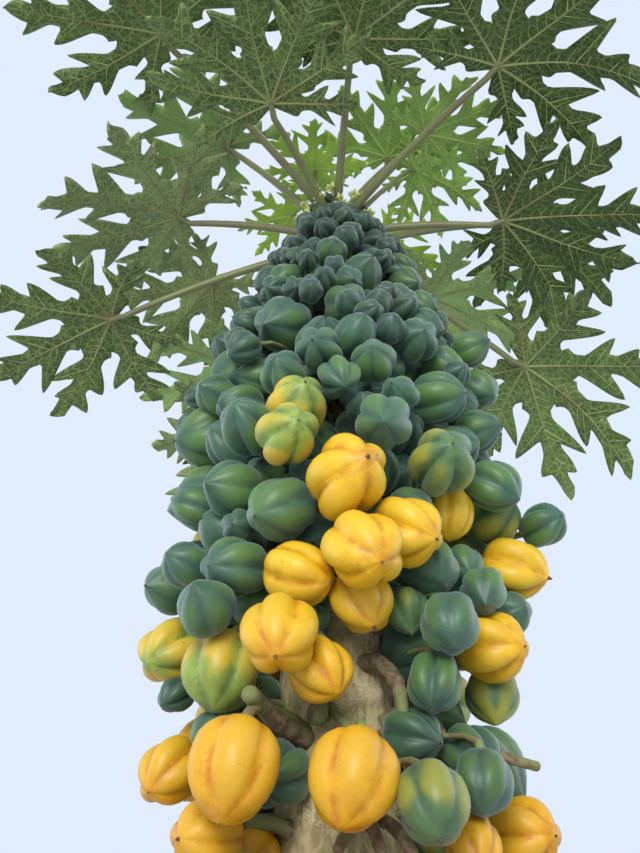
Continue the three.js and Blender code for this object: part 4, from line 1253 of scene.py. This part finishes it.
# %% Make the flower buds
BUD_PROFILE = [(0, 0), (0.08, 0.5), (0.3, 0.9), (0.55, 1), (0.8, 0.6), (1, 0)]
CLUSTERS, BUDS, CLUSTER_FOOT, CLUSTER_STEP = 22, 11, 2402, 3.4
# In metres, along a cluster's stem and along the stalk of one bud.
STEM_RADII, STEM_ARCH, BUD_STALK_RADII = (0.0032, 0.0026, 0.002), Vector((0, 0, 0.003)), (0.0015, 0.0013)

bud_shapes = shape_set("bud_shape", [ring_skin(
    [pointed_ring(x, along(BUD_PROFILE, x), 1, 0.88) for x in (0.06, 0.22, 0.45, 0.7, 0.9)],
    (0, 0, 0), (1, 0, 0))])
bud_finish = layered_finish("flower_buds", 0.5, (0.42, 0.52, 0.1), [
    ((0.62, 0.64, 0.26), (150, 2, 0.4, 0.6))])
bloom = seeded_numbers(71)
bud_rows, bud_lines = [], []
for cluster in range(CLUSTERS):
    azimuth, height = -60 + cluster * GOLDEN_TURN, CLUSTER_FOOT + CLUSTER_STEP * cluster
    root = Vector(around(azimuth, trunk_radius(height) * 0.9, height))
    end = Vector(around(azimuth + 14, trunk_radius(height) + 32, height + 16))
    bud_lines.append(list(zip((root * MM, (root + end) / 2 * MM + STEM_ARCH, end * MM), STEM_RADII)))
    for bud in range(BUDS):
        way = Vector((next(bloom) - 0.5, next(bloom) - 0.5, next(bloom) - 0.25))
        way = (way.normalized() + 0.6 * Vector((*outward(azimuth), 0))).normalized()
        near = end + way * 7
        bud_lines.append(list(zip((end * MM, near * MM), BUD_STALK_RADII)))
        long = 7 + 6 * next(bloom)
        size = Vector((long, 0.45 * long, 0.45 * long)) * MM
        bud_rows.append((near * MM, facing(way).to_euler(), size, 0))
keep(set_out("flower_buds", bud_rows, bud_shapes, bud_finish), "young_leaf")
keep(limbs("flower_stems", bud_lines, bud_finish, 6), "young_leaf")
clear_shapes(bud_shapes)

# %% [markdown]
# ## Pot
# The view ends above the pot, so this one is plain: a clay pot with a collar, turned on a wheel.
# A turned thing is one outline carried round, with soft edges and the faint rings that a potter's
# fingers leave.

# %% Make the pot
POT_HEIGHT, POT_TOP, POT_BASE, RIM_DROP, RIM_STEP, RIM_TAPER, WALL, FLOOR = 400, 225, 162, 58, 13, 4, 16, 24
POT_SIDES = 128


def level_ring(radius, heights, turns):
    """Points in metres round a level circle, from sizes in millimetres."""
    return [(radius * MM * cos(a), radius * MM * sin(a), h * MM)
            for a, h in zip(turns, np.broadcast_to(heights, len(turns)))]


def wall_radius(height):
    return POT_BASE + (POT_TOP - RIM_STEP - POT_BASE) * height / POT_HEIGHT


def inner_radius(height):
    top, bottom = POT_TOP - RIM_STEP - WALL, wall_radius(FLOOR) - WALL
    return bottom + (top - bottom) * (height - FLOOR) / (POT_HEIGHT - FLOOR)


rim_foot, rim_radius = POT_HEIGHT - RIM_DROP, POT_TOP - RIM_TAPER
outline = [(POT_BASE - 6, 0), (POT_BASE - 1.5, 1), (POT_BASE, 5)]
outline += [(wall_radius(h) + 0.35 * sin(h / 1.9), h) for h in np.arange(9, rim_foot - 4, 3.0)]
outline += [(wall_radius(rim_foot) + 1, rim_foot - 1.5), (rim_radius - 4, rim_foot)]
outline += [(rim_radius, rim_foot + 4)]
outline += [(POT_TOP - RIM_TAPER * (1 - s) + 0.3 * sin(s * 30), rim_foot + 4 + (RIM_DROP - 9) * s)
            for s in np.linspace(0.05, 1, 16)]
outline += [(POT_TOP - 2, POT_HEIGHT - 1), (POT_TOP - 6, POT_HEIGHT)]
outline += [(inner_radius(POT_HEIGHT) + 5, POT_HEIGHT), (inner_radius(POT_HEIGHT) + 1, POT_HEIGHT - 2)]
outline += [(inner_radius(height), height) for height in (390, 350, FLOOR)]
turns = [2 * pi * k / POT_SIDES for k in range(POT_SIDES)]
pot_rings = [level_ring(radius, height, turns) for radius, height in outline]
clay = layered_finish("fired_clay", 0.88, (0.42, 0.17, 0.085), [
    ((0.56, 0.27, 0.15), (7, 4, 0.38, 0.66, 1, (1, 1, 1), 0.6)),
    ((0.66, 0.52, 0.42), (11, 5, 0.56, 0.7, 0.45, (1, 1, 0.35), 0.9)),
    ((0.25, 0.1, 0.06), (300, 2, 0.68, 0.74))], (180, 5, 0.001, 0.4))
keep(mesh_object("clay_pot", *ring_skin(pot_rings, (0, 0, 0), (0, 0, FLOOR * MM)), clay), "clay", "pot")

# %% [markdown]
# ## Soil
# The soil fills the pot and rises to the trunk. Its top is a bumpy disc, and a third tree strews
# crumbs over it: points on the faces, a crumb on each, every one turned and sized at random from
# a fixed seed.

# %% Tree that strews crumbs
strew_tree, given, result = new_tree("strew crumbs", {
    "Shapes": "Collection", "Material": "Material", "Number per area": "Float", "Seed": "Int",
    "Smallest": "Float", "Largest": "Float"})
spots = step(strew_tree, "GeometryNodeDistributePointsOnFaces", {
    "Mesh": given["Geometry"], "Density": given["Number per area"], "Seed": given["Seed"]})
turn = step(strew_tree, "FunctionNodeRandomValue", {
    0: (0, 0, 0), 1: (2 * pi,) * 3, "Seed": given["Seed"]}, data_type="FLOAT_VECTOR")
size = step(strew_tree, "FunctionNodeRandomValue", {
    2: given["Smallest"], 3: given["Largest"], "Seed": given["Seed"]}, data_type="FLOAT")
end_tree(strew_tree, given, result, copies_on(strew_tree, given, spots.outputs[0], {
    "Rotation": turn.outputs[0], "Scale": size.outputs[1]}))

# %% Make the soil
SOIL_SIDES, SOIL_ROWS, SOIL_GAP, SOIL_FOOT = 120, 44, 0.7, FLOOR + 0.35
SOIL_WALL = (SOIL_FOOT, 200, 355)
# Depth, width and seed.
SOIL_BUMPS, SOIL_SLOPE = [(2.4, 14, 5), (1.2, 5, 6)], 2.4

earth = layered_finish("potting_soil", 0.95, (0.03, 0.02, 0.013), [
    ((0.085, 0.055, 0.035), (60, 5, 0.4, 0.62))], (350, 5, 0.002, 0.8))
turns = np.arange(SOIL_SIDES) / SOIL_SIDES * 2 * pi
rings = [level_ring(inner_radius(height) - SOIL_GAP, height, turns) for height in SOIL_WALL]
for share in np.linspace(1, 0.06, SOIL_ROWS):
    radius = (inner_radius(SOIL_TOP) - SOIL_GAP) * share
    x, y = radius * np.cos(turns), radius * np.sin(turns)
    bumps = sum(depth * soft_noise(x / wide, y / wide, seed) for depth, wide, seed in SOIL_BUMPS)
    rise = SOIL_TOP + SOIL_MOUND * min(1, (1 - share) * SOIL_SLOPE)
    rings.append(level_ring(radius, rise + bumps, turns))
soil_ends = (0, 0, SOIL_FOOT * MM), (0, 0, (SOIL_TOP + SOIL_MOUND) * MM)
keep(mesh_object("soil_body", *ring_skin(rings, *soil_ends), earth), "soil", "soil")


# %% Make the crumbs
def crumb(seed):
    random = seeded_numbers(seed)
    work = bmesh.new()
    bmesh.ops.create_icosphere(work, subdivisions=1, radius=1)
    for corner in work.verts:
        corner.co *= 0.7 + 0.6 * next(random)
        corner.co.z *= 0.75
    points, faces = [v.co.copy() for v in work.verts], [tuple(v.index for v in f.verts) for f in work.faces]
    work.free()
    return points, faces


crumbs = shape_set("crumb", [crumb(80 + k) for k in range(6)])
# The open top, without the ring at the pot's wall and the one at the trunk.
top_rings = rings[len(SOIL_WALL) + 1:-1]
quads = [[(r + up) * SOIL_SIDES + (s + on) % SOIL_SIDES for up, on in ((0, 0), (0, 1), (1, 1), (1, 0))]
         for r in range(len(top_rings) - 1) for s in range(SOIL_SIDES)]
disc = mesh_object("soil_top", [p for ring in top_rings for p in ring], quads)
keep(grow("soil_crumbs", disc, strew_tree, Shapes=crumbs, Material=earth,
          **{"Number per area": 14000.0, "Seed": 3, "Smallest": 0.001, "Largest": 0.0045}), "soil")
clear_shapes(crumbs)

# %% [markdown]
# ## Floor and light
# The plant stands on a plain pale floor under soft light: a pale sky all round, one lamp in front
# at the height of the fruit, and weaker ones at the sides and above. The floor throws light back
# up under the leaves.

# %% Floor, sky and lamps
FLOOR_HALF, SKY_COLOUR, SKY_STRENGTH = 60, (0.78, 0.865, 1.0, 1), 0.98
AIM = Vector((0, 0, 1.9))
# Place in metres, width and power.
LAMPS = {"front": ((-0.7, -4.3, 2.0), 2.0, 175), "left": ((-3.2, 0.4, 2.4), 2.5, 30),
         "right": ((3.2, 0.2, 2.8), 2.5, 30), "above": ((0.3, 0.6, 5.0), 3.0, 60)}

floor_finish, tree, shader = finish("pale_floor", (0.62, 0.62, 0.61), 0.9)
corners = [(x * FLOOR_HALF, y * FLOOR_HALF, 0) for x, y in ((-1, -1), (1, -1), (1, 1), (-1, 1))]
mesh_object("floor", corners, [(0, 1, 2, 3)], floor_finish)

scene = bpy.context.scene
scene.view_settings.view_transform = "Standard"
sky = bpy.data.worlds.new("pale_sky")
sky.use_nodes = True
sky.node_tree.nodes["Background"].inputs["Color"].default_value = SKY_COLOUR
sky.node_tree.nodes["Background"].inputs["Strength"].default_value = SKY_STRENGTH
scene.world = sky
for name, (place, wide, power) in LAMPS.items():
    lamp = in_scene(name, bpy.data.lights.new(name, "AREA"))
    lamp.data.size, lamp.data.energy = wide, power
    lamp.location = place
    lamp.rotation_euler = (AIM - Vector(place)).to_track_quat("-Z", "Y").to_euler()
print("lamps", len(LAMPS))
